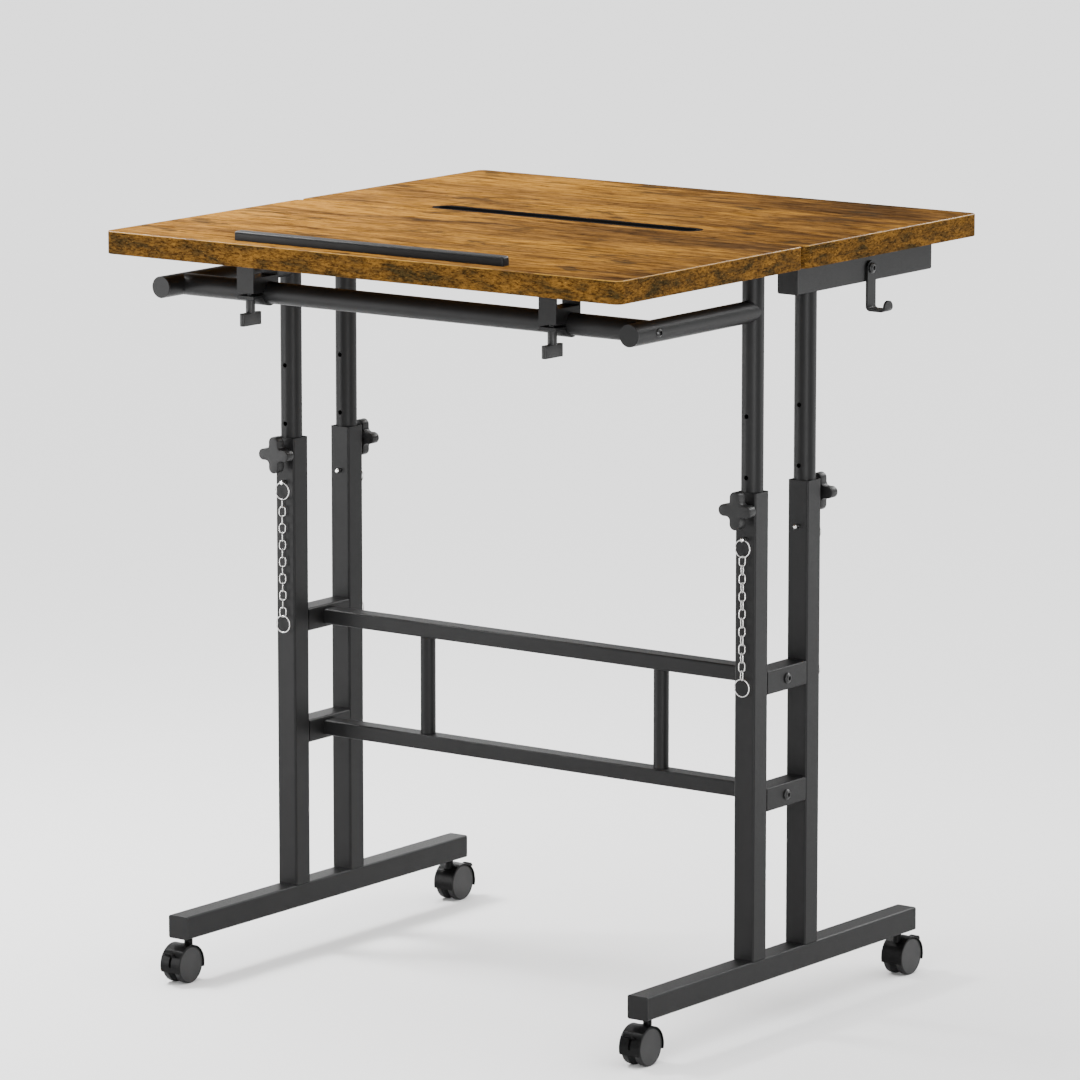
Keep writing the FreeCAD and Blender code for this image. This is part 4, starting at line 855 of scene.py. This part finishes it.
def soften(node: Piece) -> None:
    """Round a frame node's sharp edges with modifiers, which leave its own vertices alone.

    Args:
        node: Node to soften.
    """
    weld = node.modifiers.new("weld", "WELD")
    weld.merge_threshold = NEAR / 10
    ease = node.modifiers.new("ease", "BEVEL")
    ease.width = SOFT_EDGE
    ease.segments = SOFT_STEPS
    ease.limit_method = "ANGLE"
    ease.angle_limit = math.radians(SOFTEN_ANGLE)
    ease.harden_normals = True


def dress_frame(materials: dict[Finish, Material]) -> None:
    """Give every frame node the material of its slot or its own, and soften the small sharp-edged ones.

    Args:
        materials: Material of each finish.
    """
    own = {f"{leg}_caster_brake": Finish.GLOSSY_PLASTIC for leg, _ in legs()}
    own["slot_liner"] = Finish.MATTE_PLASTIC
    for entry in frame["record"]["subparts"]:
        name = entry["node"]
        node = frame["nodes"][name]
        node.data.materials.clear()
        node.data.materials.append(materials[own.get(name, SLOT_FINISH[Slot(entry["material_slot"])])])
        if any(word in name for word in SOFTENED):
            soften(node)


# Sub-assemblies


@dataclass
class SubAssembly(ABC):
    """Pieces that are modelled together, with their sizes and materials."""

    materials: dict[Finish, Material]

    @abstractmethod
    def build(self) -> list[Piece]:
        """Model the pieces, dress them, put them on their bodies and give them."""

    def finish(self, piece: Piece, body: str, slot: Slot, finishes: Sequence[Finish], node: str) -> Piece:
        """Give a piece its shading, its materials and its body, and hide the node that it stands for.

        Args:
            piece: Finished piece.
            body: Body that it rides on.
            slot: Not used.
            finishes: Finishes in the order of the mesh's indices.
            node: Node that it replaces.

        Returns:
            The piece.
        """
        shade(piece)
        for finish in finishes:
            piece.data.materials.append(self.materials[finish])
        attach(piece, body)
        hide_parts(node)
        return piece


@dataclass
class Tabletop(SubAssembly):
    """The two panels, with a band round their sides and a painted highlight on their upper rims."""

    corner: float = 0.008
    corner_steps: int = 8
    rim: float = 0.0011
    rim_steps: int = 3
    slot_spare: float = 0.0001
    slot_above: float = 0.02
    slot_round: float = 0.4999
    slot_steps: int = 16
    broad_tilt: float = 0.9
    side_tilt: float = 0.15
    seam_reach: float = 0.003

    @property
    def seam(self) -> float:
        """Give the Y of the middle of the seam between the panels."""
        return (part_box("front_panel")[1].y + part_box("rear_panel")[0].y) / 2

    def panel(self, node: str) -> Piece:
        """Model one panel: a block with round corners and rounded rims.

        Args:
            node: Node that gives the panel's place.

        Returns:
            The panel.
        """
        low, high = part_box(node)
        piece = add_block(f"{node}_board", low, high)
        bevel(piece, self.corner, self.corner_steps, lambda edge: runs_along(edge, Z_AXIS))
        bevel(piece, self.rim, self.rim_steps, rim_at(Z_AXIS, low.z, high.z))
        return piece

    def cut_slot(self, piece: Piece) -> None:
        """Cut the opening that the slot's liner sits in.

        Args:
            piece: Panel to cut.
        """
        low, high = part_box("slot_liner")
        spare = Vector((self.slot_spare, self.slot_spare, 0.0))
        cutter = add_block("slot_cutter", low - spare, high + spare + Z_AXIS * self.slot_above)
        width = (high - low).y + 2 * spare.y
        bevel(cutter, width * self.slot_round, self.slot_steps, lambda edge: runs_along(edge, Z_AXIS))
        cut_away(piece, cutter)

    def paint(self, piece: Piece) -> None:
        """Sort the faces: 0 broad faces and the rims at the seam, 1 sides and lower rims, 2 upper rims with the
        painted highlight.

        Args:
            piece: Panel to sort.
        """
        for face in piece.data.polygons:
            tilt = abs(face.normal.z)
            at_seam = abs(face.center.y - self.seam) < self.seam_reach
            broad = tilt > self.broad_tilt or (at_seam and tilt > self.side_tilt)
            face.material_index = 0 if broad else 2 if face.normal.z > self.side_tilt else 1

    def build(self) -> list[Piece]:
        """Model both panels and put them on their bodies.

        Returns:
            The panels.
        """
        # The third finish paints a highlight on the upper rims
        finishes = (Finish.LAMINATE, Finish.EDGE_BAND, Finish.WORN_RIM)
        pieces = []
        for node, body in (("front_panel", "tilt_panel"), ("rear_panel", "rear_carriage")):
            piece = self.panel(node)
            if node == "rear_panel":
                self.cut_slot(piece)
            self.paint(piece)
            pieces.append(self.finish(piece, body, Slot.WOOD, finishes, node))
        return pieces


@dataclass
class EdgeStop(SubAssembly):
    """Moulded bar on the front panel that stops things sliding off."""

    round_end: float = 0.0030
    end_steps: int = 6
    round_top: float = 0.0028
    top_steps: int = 5

    def build(self) -> list[Piece]:
        """Model the bar with round upper edges and ends.

        Returns:
            The bar.
        """
        low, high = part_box("edge_stop")
        piece = add_block("edge_stop_bar", low, high)
        bevel(piece, self.round_end, self.end_steps, lambda edge: runs_along(edge, Z_AXIS))
        bevel(piece, self.round_top, self.top_steps, rim_at(Z_AXIS, high.z))
        return [self.finish(piece, "tilt_panel", Slot.PLASTIC, [Finish.MOULDED_PLASTIC], "edge_stop")]


@dataclass
class LobedKnobs(SubAssembly):
    """Four-lobed knobs on the uprights."""

    lobe: float = 0.0112
    lobe_round: float = 0.98
    lobe_steps: int = 8
    thick: float = 0.0102
    inner_fillet: float = 0.0042
    face_ease: float = 0.0013
    ease_steps: int = 4
    hub: float = 0.009
    hub_sides: int = 40
    stud: float = 0.005
    stud_sides: int = 24

    def knob(self, name: str, span: float) -> Piece:
        """Model one knob about the origin, its face towards -Y and its back on the plane Y = 0.

        Args:
            name: Name of the piece.
            span: Width across two lobes.

        Returns:
            The knob.
        """
        half = self.lobe / 2
        reach = span / 2 - half
        piece = add_block(name, Vector((-half, -self.thick, -half)), Vector((half, 0, half)))
        for direction in (X_AXIS, -X_AXIS, Z_AXIS, -Z_AXIS):
            side = direction * half - Y_AXIS * self.thick / 2
            with editing(piece, Pick.FACES, centred_at(side)):
                bpy.ops.mesh.extrude_region_move(TRANSFORM_OT_translate={"value": direction * reach})

        def inner(edge: Edge) -> bool:
            """Tell whether an edge stands where two lobes meet."""
            middle = (edge.verts[0].co + edge.verts[1].co) / 2
            return math.hypot(middle.x, middle.z) < half * math.sqrt(2) + NEAR

        bevel(piece, half * self.lobe_round, self.lobe_steps,
              lambda edge: runs_along(edge, Y_AXIS) and not inner(edge))
        bevel(piece, self.inner_fillet, self.lobe_steps,
              lambda edge: runs_along(edge, Y_AXIS) and inner(edge))
        bevel(piece, self.face_ease, self.ease_steps, rim_at(Y_AXIS, -self.thick))
        bevel(piece, self.face_ease / 2, self.ease_steps // 2, rim_at(Y_AXIS, 0.0))
        return piece

    def build(self) -> list[Piece]:
        """Model a knob once and set it on each upright, with its hub and stud.

        Returns:
            The knobs.
        """
        low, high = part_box("front_left_knob")
        pattern = self.knob("knob_pattern", (high - low).x)
        nuts_low, nuts_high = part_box("knob_nuts")
        pieces = []
        for leg, out in legs():
            node = f"{leg}_knob"
            low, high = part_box(node)
            middle = (low + high) / 2
            face, tip, nut = (low.y, high.y, nuts_low.y) if out < 0 else (high.y, low.y, nuts_high.y)
            back = Vector((middle.x, face - out * self.thick, middle.z))
            head = copied(pattern, f"{node}_head", Matrix.Translation(back) @ looking(out))
            hub_end = Vector((middle.x, nut, middle.z))
            hub = add_bar(f"{node}_hub", self.hub / 2, back, hub_end, self.hub_sides)
            stud_end = Vector((middle.x, tip, middle.z))
            stud = add_bar(f"{node}_stud", self.stud / 2, back, stud_end, self.stud_sides)
            piece = join(f"{node}_moulding", [head, hub, stud])
            pieces.append(self.finish(piece, node, Slot.PLASTIC, [Finish.SATIN_KNOB], node))
        discard(pattern)
        return pieces


@dataclass
class PinChains(SubAssembly):
    """Chains that hang from the pull pins: a ring, links that turn by quarters, and a second ring."""

    ring_wire: float = 0.001
    ring_diameter: float = 0.0166
    link_wire: float = 0.00095
    link_width: float = 0.006
    pitch: float = 0.0084
    play: float = 0.00015
    links: int = 14
    first_turns: Span = (126.0, 54.0)
    turn_step: float = 90.0

    @property
    def length(self) -> float:
        """Give the length of a link, to the middle of its wire."""
        return self.pitch + self.link_wire + self.play

    def link(self, name: str) -> Piece:
        """Model a link about the origin, across Y: a ring pulled long.

        Args:
            name: Name of the piece.

        Returns:
            The link.
        """
        piece = add_ring(name, self.link_width / 2, self.link_wire, Y_AXIS)
        stretch = (self.length - self.link_width) / 2
        for way in (Z_AXIS, -Z_AXIS):
            with editing(piece, Pick.FACES, lambda face: face.calc_center_median().dot(way) > NEAR):
                bpy.ops.transform.translate(value=way * stretch)
        return piece

    def chain(self, node: str, ring: Piece, link: Piece, first_turn: float) -> Piece:
        """Hang copies of a ring and a link below each other.

        Args:
            node: Node that gives the chain's place.
            ring: Pattern of the rings.
            link: Pattern of the links.
            first_turn: Turn of the first link about Z, in degrees.

        Returns:
            The chain.
        """
        low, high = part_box(node)
        middle = (low + high) / 2
        step_to_ring = (self.link_wire + self.ring_wire) / 2 + self.play
        height = high.z - (self.ring_diameter + self.ring_wire) / 2
        parts = [(ring, height, 0.0)]
        height += -self.ring_diameter / 2 + step_to_ring - self.length / 2
        for number in range(self.links):
            parts.append((link, height, first_turn + self.turn_step * number))
            height -= self.pitch
        height += self.pitch - self.length / 2 + step_to_ring - self.ring_diameter / 2
        parts.append((ring, height, 0.0))
        pieces = []
        for pattern, level, turn in parts:
            place = Matrix.Translation((middle.x, middle.y, level))
            change = place @ Matrix.Rotation(math.radians(turn), 4, "Z")
            pieces.append(copied(pattern, f"{node}_{len(pieces)}", change))
        return join(f"{node}_wire", pieces)

    def build(self) -> list[Piece]:
        """Model one ring and one link, and hang a chain of them on each pin.

        Returns:
            The chains.
        """
        ring = add_ring("ring_pattern", self.ring_diameter / 2, self.ring_wire, Y_AXIS)
        link = self.link("link_pattern")
        pieces = []
        for row in ROWS:
            for side, first_turn in zip(SIDES, self.first_turns):
                node = f"{row}_{side}_chain"
                piece = self.chain(node, ring, link, first_turn)
                pieces.append(self.finish(piece, node, Slot.ZINC, [Finish.ZINC_PLATE], node))
        discard(ring, link)
        return pieces


@dataclass
class Casters(SubAssembly):
    """Twin-wheel casters: capped wheels under a moulded hood with a slot for the brake."""

    sides: int = 120
    wheel_width: float = 0.007
    wheel_bevel: float = 0.0016
    wheel_steps: int = 4
    cap_border: float = 0.0011
    cap_sink: float = 0.00025
    disc_tilt: float = 0.97
    axle: float = 0.004
    axle_sides: int = 24
    axle_ease: float = 0.0005
    axle_inset: float = 0.00525
    ease_steps: int = 2
    hood_gap: float = 0.00035
    hood_thick: float = 0.0012
    hood_ease: float = 0.00036
    hood_from: float = -17.0
    hood_to: float = 194.0
    hood_round: float = 0.004
    hood_steps: int = 5
    hood_lip: float = 0.0007
    slot_from: float = -2.0
    slot_to: float = 30.0
    slot_width: float = 0.0026
    slot_round: float = 0.49
    slot_steps: int = 6
    web_gap: float = 0.0004
    web_reach: float = 0.005
    web_back: float = 0.015
    collar: float = 0.0085
    collar_sides: int = 48
    collar_ease: float = 0.00085
    collar_steps: int = 3

    def wheels(self, name: str, low: Vector, high: Vector) -> Piece:
        """Model both wheels and their axle, their discs as material 0 and the rest as 1, whose darker tone is the
        tyre's and painted shade on the tilted bevel rings.

        Args:
            name: Name of the piece.
            low: Lowest corner of the pair.
            high: Highest corner of the pair.

        Returns:
            The pair.
        """
        middle = (low + high) / 2
        radius = (high - low).z / 2
        parts = []
        for out, edge in ((-1.0, low.x), (1.0, high.x)):
            inner = Vector((edge - out * self.wheel_width, middle.y, middle.z))
            outer = Vector((edge, middle.y, middle.z))
            wheel = add_bar(f"{name}_{len(parts)}", radius, inner, outer, self.sides)
            bevel(wheel, self.wheel_bevel, self.wheel_steps, rim_at(X_AXIS, outer.x))
            bevel(wheel, self.wheel_bevel / 2, self.wheel_steps // 2, rim_at(X_AXIS, inner.x))
            for border, depth in ((self.cap_border, 0.0), (self.cap_sink, -self.cap_sink)):
                with editing(wheel, Pick.FACES, faces_to(X_AXIS * out)):
                    bpy.ops.mesh.inset(thickness=border, depth=depth)
            parts.append(wheel)
        reach = X_AXIS * (middle.x - low.x - self.axle_inset)
        axle = add_bar(f"{name}_axle", self.axle / 2, middle - reach, middle + reach, self.axle_sides)
        bevel(axle, self.axle_ease, self.ease_steps, is_rim)
        pair = join(name, parts + [axle])
        # Faces that don't face along X take the darker material: the tyre, and painted shade on the tilted bevel
        # rings
        for face in pair.data.polygons:
            face.material_index = 0 if abs(face.normal.x) > self.disc_tilt else 1
        return pair

    def shell(self, name: str, axle: Vector, outside: float, half_width: float) -> Piece:
        """Model the hood's bent wall, open below, with round corners and a slot ahead for the brake.

        Args:
            name: Name of the piece.
            axle: Middle of the axle.
            outside: Radius of the hood.
            half_width: Half the hood's width.

        Returns:
            The wall.
        """
        across = X_AXIS * half_width
        wall = add_bar(name, outside, axle - across, axle + across, self.sides)

        def past_lips(face: Face) -> bool:
            """Tell whether a face is an end of the bar or lies outside the hood's arc."""
            angle = turn_about(axle, face.calc_center_median())
            return abs(face.normal.x) > FACING or not self.hood_from < angle < self.hood_to

        with editing(wall, Pick.FACES, past_lips):
            bpy.ops.mesh.delete(type="FACE")
        bevel(wall, self.hood_round, self.hood_steps, lambda point: len(point.link_edges) == 2, Pick.POINTS)
        thicken(wall, self.hood_thick)
        slot_middle = math.radians((self.slot_from + self.slot_to) / 2)
        half_slot = outside * math.radians(self.slot_to - self.slot_from) / 2
        corner = Vector((self.slot_width / 2, self.hood_thick * 2, half_slot))
        cutter = add_block(f"{name}_cutter", -corner, corner)
        end_round = self.slot_width * self.slot_round
        bevel(cutter, end_round, self.slot_steps, lambda edge: runs_along(edge, Y_AXIS))
        ray = Vector((0.0, -math.cos(slot_middle), math.sin(slot_middle)))
        place = Matrix.Translation(axle + ray * outside)
        cutter.data.transform(place @ Matrix.Rotation(-slot_middle, 4, "X"))
        cut_away(wall, cutter)
        ease_edges(wall, self.hood_ease, self.ease_steps)
        return wall

    def web(self, name: str, axle: Vector, radius: float, half_width: float) -> Piece:
        """Model the wall between the wheels, slit for the brake's tongue.

        Args:
            name: Name of the hood.
            axle: Middle of the axle.
            radius: Radius of the wheels.
            half_width: Half the hood's width.

        Returns:
            The wall.
        """
        half = X_AXIS * (half_width - self.hood_lip - self.wheel_width - self.web_gap)
        reach = radius + self.hood_gap + self.hood_thick / 2
        wall = add_bar(f"{name}_web", reach, axle - half, axle + half, self.sides)
        far = Vector((half_width, 2 * radius, 2 * radius))
        slit = Vector((self.slot_width / 2, self.web_reach + self.web_gap, radius + self.hood_gap))
        cuts = {
            "below": (-far, Vector((far.x, far.y, -self.web_reach))),
            "ahead": (-far, Vector((far.x, -self.web_reach, far.z))),
            "behind": (Vector((-far.x, self.web_back, -far.z)), far),
            "gap": (-slit, slit),
        }
        for word, (low, high) in cuts.items():
            cut_away(wall, add_block(f"{name}_{word}", axle + low, axle + high))
        return wall

    def stem(self, name: str, axle: Vector, outside: float, top: Vector) -> Piece:
        """Model the collar between the hood and the foot.

        Args:
            name: Name of the hood.
            axle: Middle of the axle.
            outside: Radius of the hood.
            top: Where the stem meets the foot.

        Returns:
            The collar.
        """
        drop = math.sqrt(outside**2 - (top.y - axle.y) ** 2)
        seat = Vector((top.x, top.y, axle.z + drop - self.hood_thick * 2))
        collar = add_bar(f"{name}_collar", self.collar / 2, seat, top, self.collar_sides)
        bevel(collar, self.collar_ease, self.collar_steps, rim_at(Z_AXIS, top.z))
        return collar

    def hood(self, name: str, axle: Vector, radius: float, half_width: float, top: Vector) -> Piece:
        """Model a hood that looks towards -Y, with its web and collar.

        Args:
            name: Name of the piece.
            axle: Middle of the axle.
            radius: Radius of the wheels.
            half_width: Half the hood's width.
            top: Where the stem meets the foot.

        Returns:
            The hood.
        """
        outside = radius + self.hood_gap + self.hood_thick
        shell = self.shell(name, axle, outside, half_width)
        web = self.web(name, axle, radius, half_width)
        return join(name, [shell, web, self.stem(name, axle, outside, top)])

    def build(self) -> list[Piece]:
        """Model the front left caster and copy it to the other three corners.

        Returns:
            The wheels and hoods.
        """
        wheel_low, wheel_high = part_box("front_left_caster_wheels")
        hood_low, hood_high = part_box("front_left_caster_hood")
        home = stem_axis("front_left")
        axle = (wheel_low + wheel_high) / 2
        radius = (wheel_high - wheel_low).z / 2
        half_width = (hood_high - hood_low).x / 2
        top = Vector((0.0, home.y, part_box("left_foot")[0].z))
        wheels = self.wheels("wheels_pattern", wheel_low, wheel_high)
        hood = self.hood("hood_pattern", Vector((0.0, axle.y, axle.z)), radius, half_width, top)
        hood.data.transform(Matrix.Translation(X_AXIS * axle.x))
        pieces = []
        for leg, out in legs():
            change = Matrix.Translation(stem_axis(leg)) @ looking(out) @ Matrix.Translation(-home)
            for pattern, node, slot, finishes in (
                (wheels, f"{leg}_caster_wheels", Slot.WHEEL, [Finish.WHEEL_DISC, Finish.WHEEL_TYRE]),
                (hood, f"{leg}_caster_hood", Slot.PLASTIC, [Finish.GLOSSY_PLASTIC]),
            ):
                piece = copied(pattern, f"{node}_moulding", change)
                pieces.append(self.finish(piece, node, slot, finishes, node))
        discard(wheels, hood)
        return pieces


@dataclass
class Thumbscrews(SubAssembly):
    """Thumbscrews under the clamps: a stem and an S-shaped wing."""

    stem: float = 0.009
    stem_length: float = 0.0133
    stem_sides: int = 40
    stem_ease: float = 0.00075
    stem_steps: int = 3
    thread: float = 0.006
    thread_sides: int = 32
    thread_ease: float = 0.0006
    thread_steps: int = 2
    grip: float = 0.027
    height: float = 0.0122
    thick: float = 0.0056
    sway: float = 0.0017
    stations: int = 12
    end_round: float = 0.42
    end_steps: int = 5
    ease: float = 0.0006
    ease_steps: int = 3
    angle: float = 78.0

    def wing(self, name: str) -> Piece:
        """Model the wing about the origin, its top on the plane Z = 0.

        Args:
            name: Name of the piece.

        Returns:
            The wing.
        """
        end = self.grip / 2
        half = Vector((end, self.thick / 2, 0.0))
        piece = add_block(name, -half - Z_AXIS * self.height, half)
        with editing(piece, Pick.EDGES, lambda edge: runs_along(edge, X_AXIS)):
            bpy.ops.mesh.subdivide(number_cuts=self.stations - 1)
        for number in range(self.stations + 1):
            x = -end + number * self.grip / self.stations
            sideways = Y_AXIS * self.sway * math.sin(math.pi * x / self.grip)
            with editing(piece, Pick.EDGES, lambda edge: lies_at(edge, X_AXIS, x)):
                bpy.ops.transform.translate(value=sideways)
        bevel(piece, self.thick * self.end_round, self.end_steps,
              lambda edge: runs_along(edge, Z_AXIS) and lies_at(edge, X_AXIS, -end, end))
        ease_edges(piece, self.ease, self.ease_steps)
        return piece

    def build(self) -> list[Piece]:
        """Model a thumbscrew once and set it under both clamps.

        Returns:
            The thumbscrews.
        """
        pattern = self.wing("wing_pattern")
        turn = Matrix.Rotation(math.radians(self.angle), 4, "Z")
        pieces = []
        for side in SIDES:
            node = f"{side}_thumbscrew"
            low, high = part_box(node)
            middle = (low + high) / 2
            seat = Vector((middle.x, middle.y, low.z + self.height))
            tip = Vector((middle.x, middle.y, high.z))
            foot = seat - Z_AXIS * self.ease
            shoulder = seat + Z_AXIS * self.stem_length
            wing = copied(pattern, f"{node}_wing", Matrix.Translation(seat) @ turn)
            stem = add_bar(f"{node}_stem", self.stem / 2, foot, shoulder, self.stem_sides)
            bevel(stem, self.stem_ease, self.stem_steps, is_rim)
            thread = add_bar(f"{node}_thread", self.thread / 2, seat, tip, self.thread_sides)
            bevel(thread, self.thread_ease, self.thread_steps, is_rim)
            piece = join(f"{node}_turned", [wing, stem, thread])
            pieces.append(self.finish(piece, node, Slot.SCREW, [Finish.HAMMERED_COAT], node))
        discard(pattern)
        return pieces


# Camera, light and floor


@dataclass(frozen=True)
class Lamp:
    """A soft lamp: its place, width and height, and watts. One for sheen shows in reflections alone."""

    name: str
    at: Triple
    size: Span
    power: float
    sheen: bool = False


@dataclass
class Studio:
    """Pale floor, soft light and a camera at the photograph's angle."""

    camera_at: Triple = (3.764, -5.173, 1.5665)
    look_from: float = 36.09
    look_down: float = 10.04
    lens: float = 223.8
    sensor: float = 36.0
    far: float = 1000.0
    sky_strength: float = 0.42
    sun_power: float = 5.6
    sun_width: float = 110.0
    sun_tilt: Span = (-14.0, 9.0)
    lamps_aim: Triple = (0.0, 0.0, 0.4)
    lamps: tuple[Lamp, ...] = (
        Lamp("front", (0.9, -5.0, 2.6), (2.5, 2.5), 150.0),
        Lamp("corner", (-0.95, -0.2, 1.35), (0.36, 0.36), 28.0),
        Lamp("glow", (-5.0, 4.2, 1.9), (2.4, 2.4), 20.0, sheen=True),
        Lamp("left_card", (-1.2, -1.1, 0.4), (0.6, 1.0), 19.0, sheen=True),
        Lamp("right_card", (1.1, 0.95, 0.4), (0.6, 1.0), 6.0, sheen=True),
        Lamp("edge_card", (1.7, -1.2, 0.5), (0.3, 1.2), 40.0, sheen=True),
        Lamp("foot_card", (-1.05, 1.2, 0.42), (0.5, 0.3), 1.5, sheen=True),
        Lamp("rear_card", (0.6, 2.6, 2.0), (2.0, 0.6), 70.0, sheen=True),
    )
    floor_size: float = 600.0
    floor_tone: Colour = (0.92, 0.92, 0.92)
    floor_rough: float = 0.9

    def placed(self, data: bpy.types.Camera | bpy.types.Light) -> Piece:
        """Put a camera or lamp into the scene.

        Args:
            data: The camera's or lamp's own settings.

        Returns:
            Its object.
        """
        thing = bpy.data.objects.new(data.name, data)
        bpy.context.scene.collection.objects.link(thing)
        return thing

    def add_camera(self) -> None:
        """Add the camera and make it the scene's own."""
        data = bpy.data.cameras.new("camera")
        data.lens = self.lens
        data.sensor_width = self.sensor
        data.clip_end = self.far
        camera = self.placed(data)
        camera.location = self.camera_at
        camera.rotation_euler = (math.radians(90 - self.look_down), 0.0, math.radians(self.look_from))
        bpy.context.scene.camera = camera

    def add_sky(self) -> None:
        """Light the scene softly from all round."""
        world = bpy.data.worlds.new("studio")
        world.use_nodes = True
        sky = world.node_tree.nodes["Background"]
        sky.inputs["Color"].default_value = (*WHITE, 1.0)
        sky.inputs["Strength"].default_value = self.sky_strength
        bpy.context.scene.world = world

    def add_sun(self) -> None:
        """Add a very wide sun, so that the floor is lit evenly and the shadows are soft."""
        data = bpy.data.lights.new("wide_sun", "SUN")
        data.energy = self.sun_power
        data.angle = math.radians(self.sun_width)
        about_x, about_y = self.sun_tilt
        self.placed(data).rotation_euler = (math.radians(about_x), math.radians(about_y), 0.0)

    def add_lamp(self, lamp: Lamp) -> None:
        """Add a soft lamp that points at the desk and isn't seen itself.

        Args:
            lamp: Lamp to add.
        """
        data = bpy.data.lights.new(lamp.name, "AREA")
        data.shape = "RECTANGLE"
        data.size, data.size_y = lamp.size
        data.energy = lamp.power
        light = self.placed(data)
        light.location = lamp.at
        aim = Vector(self.lamps_aim) - Vector(lamp.at)
        light.rotation_euler = aim.to_track_quat("-Z", "Y").to_euler()
        light.visible_diffuse = not lamp.sheen
        light.visible_camera = False

    def add_floor(self) -> None:
        """Add the floor, which isn't part of the desk."""
        start_clean()
        bpy.ops.mesh.primitive_plane_add(size=self.floor_size)
        floor = settle("floor")
        wiring = Wiring("floor")
        floor.data.materials.append(
            wiring.finished(Base_Color=self.floor_tone, Roughness=self.floor_rough, Specular_IOR_Level=0.0)
        )

    def build(self) -> None:
        """Set up camera, lights and floor."""
        self.add_camera()
        self.add_sky()
        self.add_sun()
        for lamp in self.lamps:
            self.add_lamp(lamp)
        self.add_floor()


def main() -> None:
    """Dress the frame, build the sub-assemblies and the studio, and log each piece's faces."""
    logging.basicConfig(level=logging.INFO, format="%(name)s %(message)s")
    materials = {finish: finish.value.material(finish.name.lower()) for finish in Finish}
    dress_frame(materials)
    for kind in (Tabletop, EdgeStop, LobedKnobs, PinChains, Casters, Thumbscrews):
        for piece in kind(materials).build():
            LOG.info("%s: %d faces", piece.name, len(piece.data.polygons))
    Studio().build()


if __name__ == "__main__":
    main()
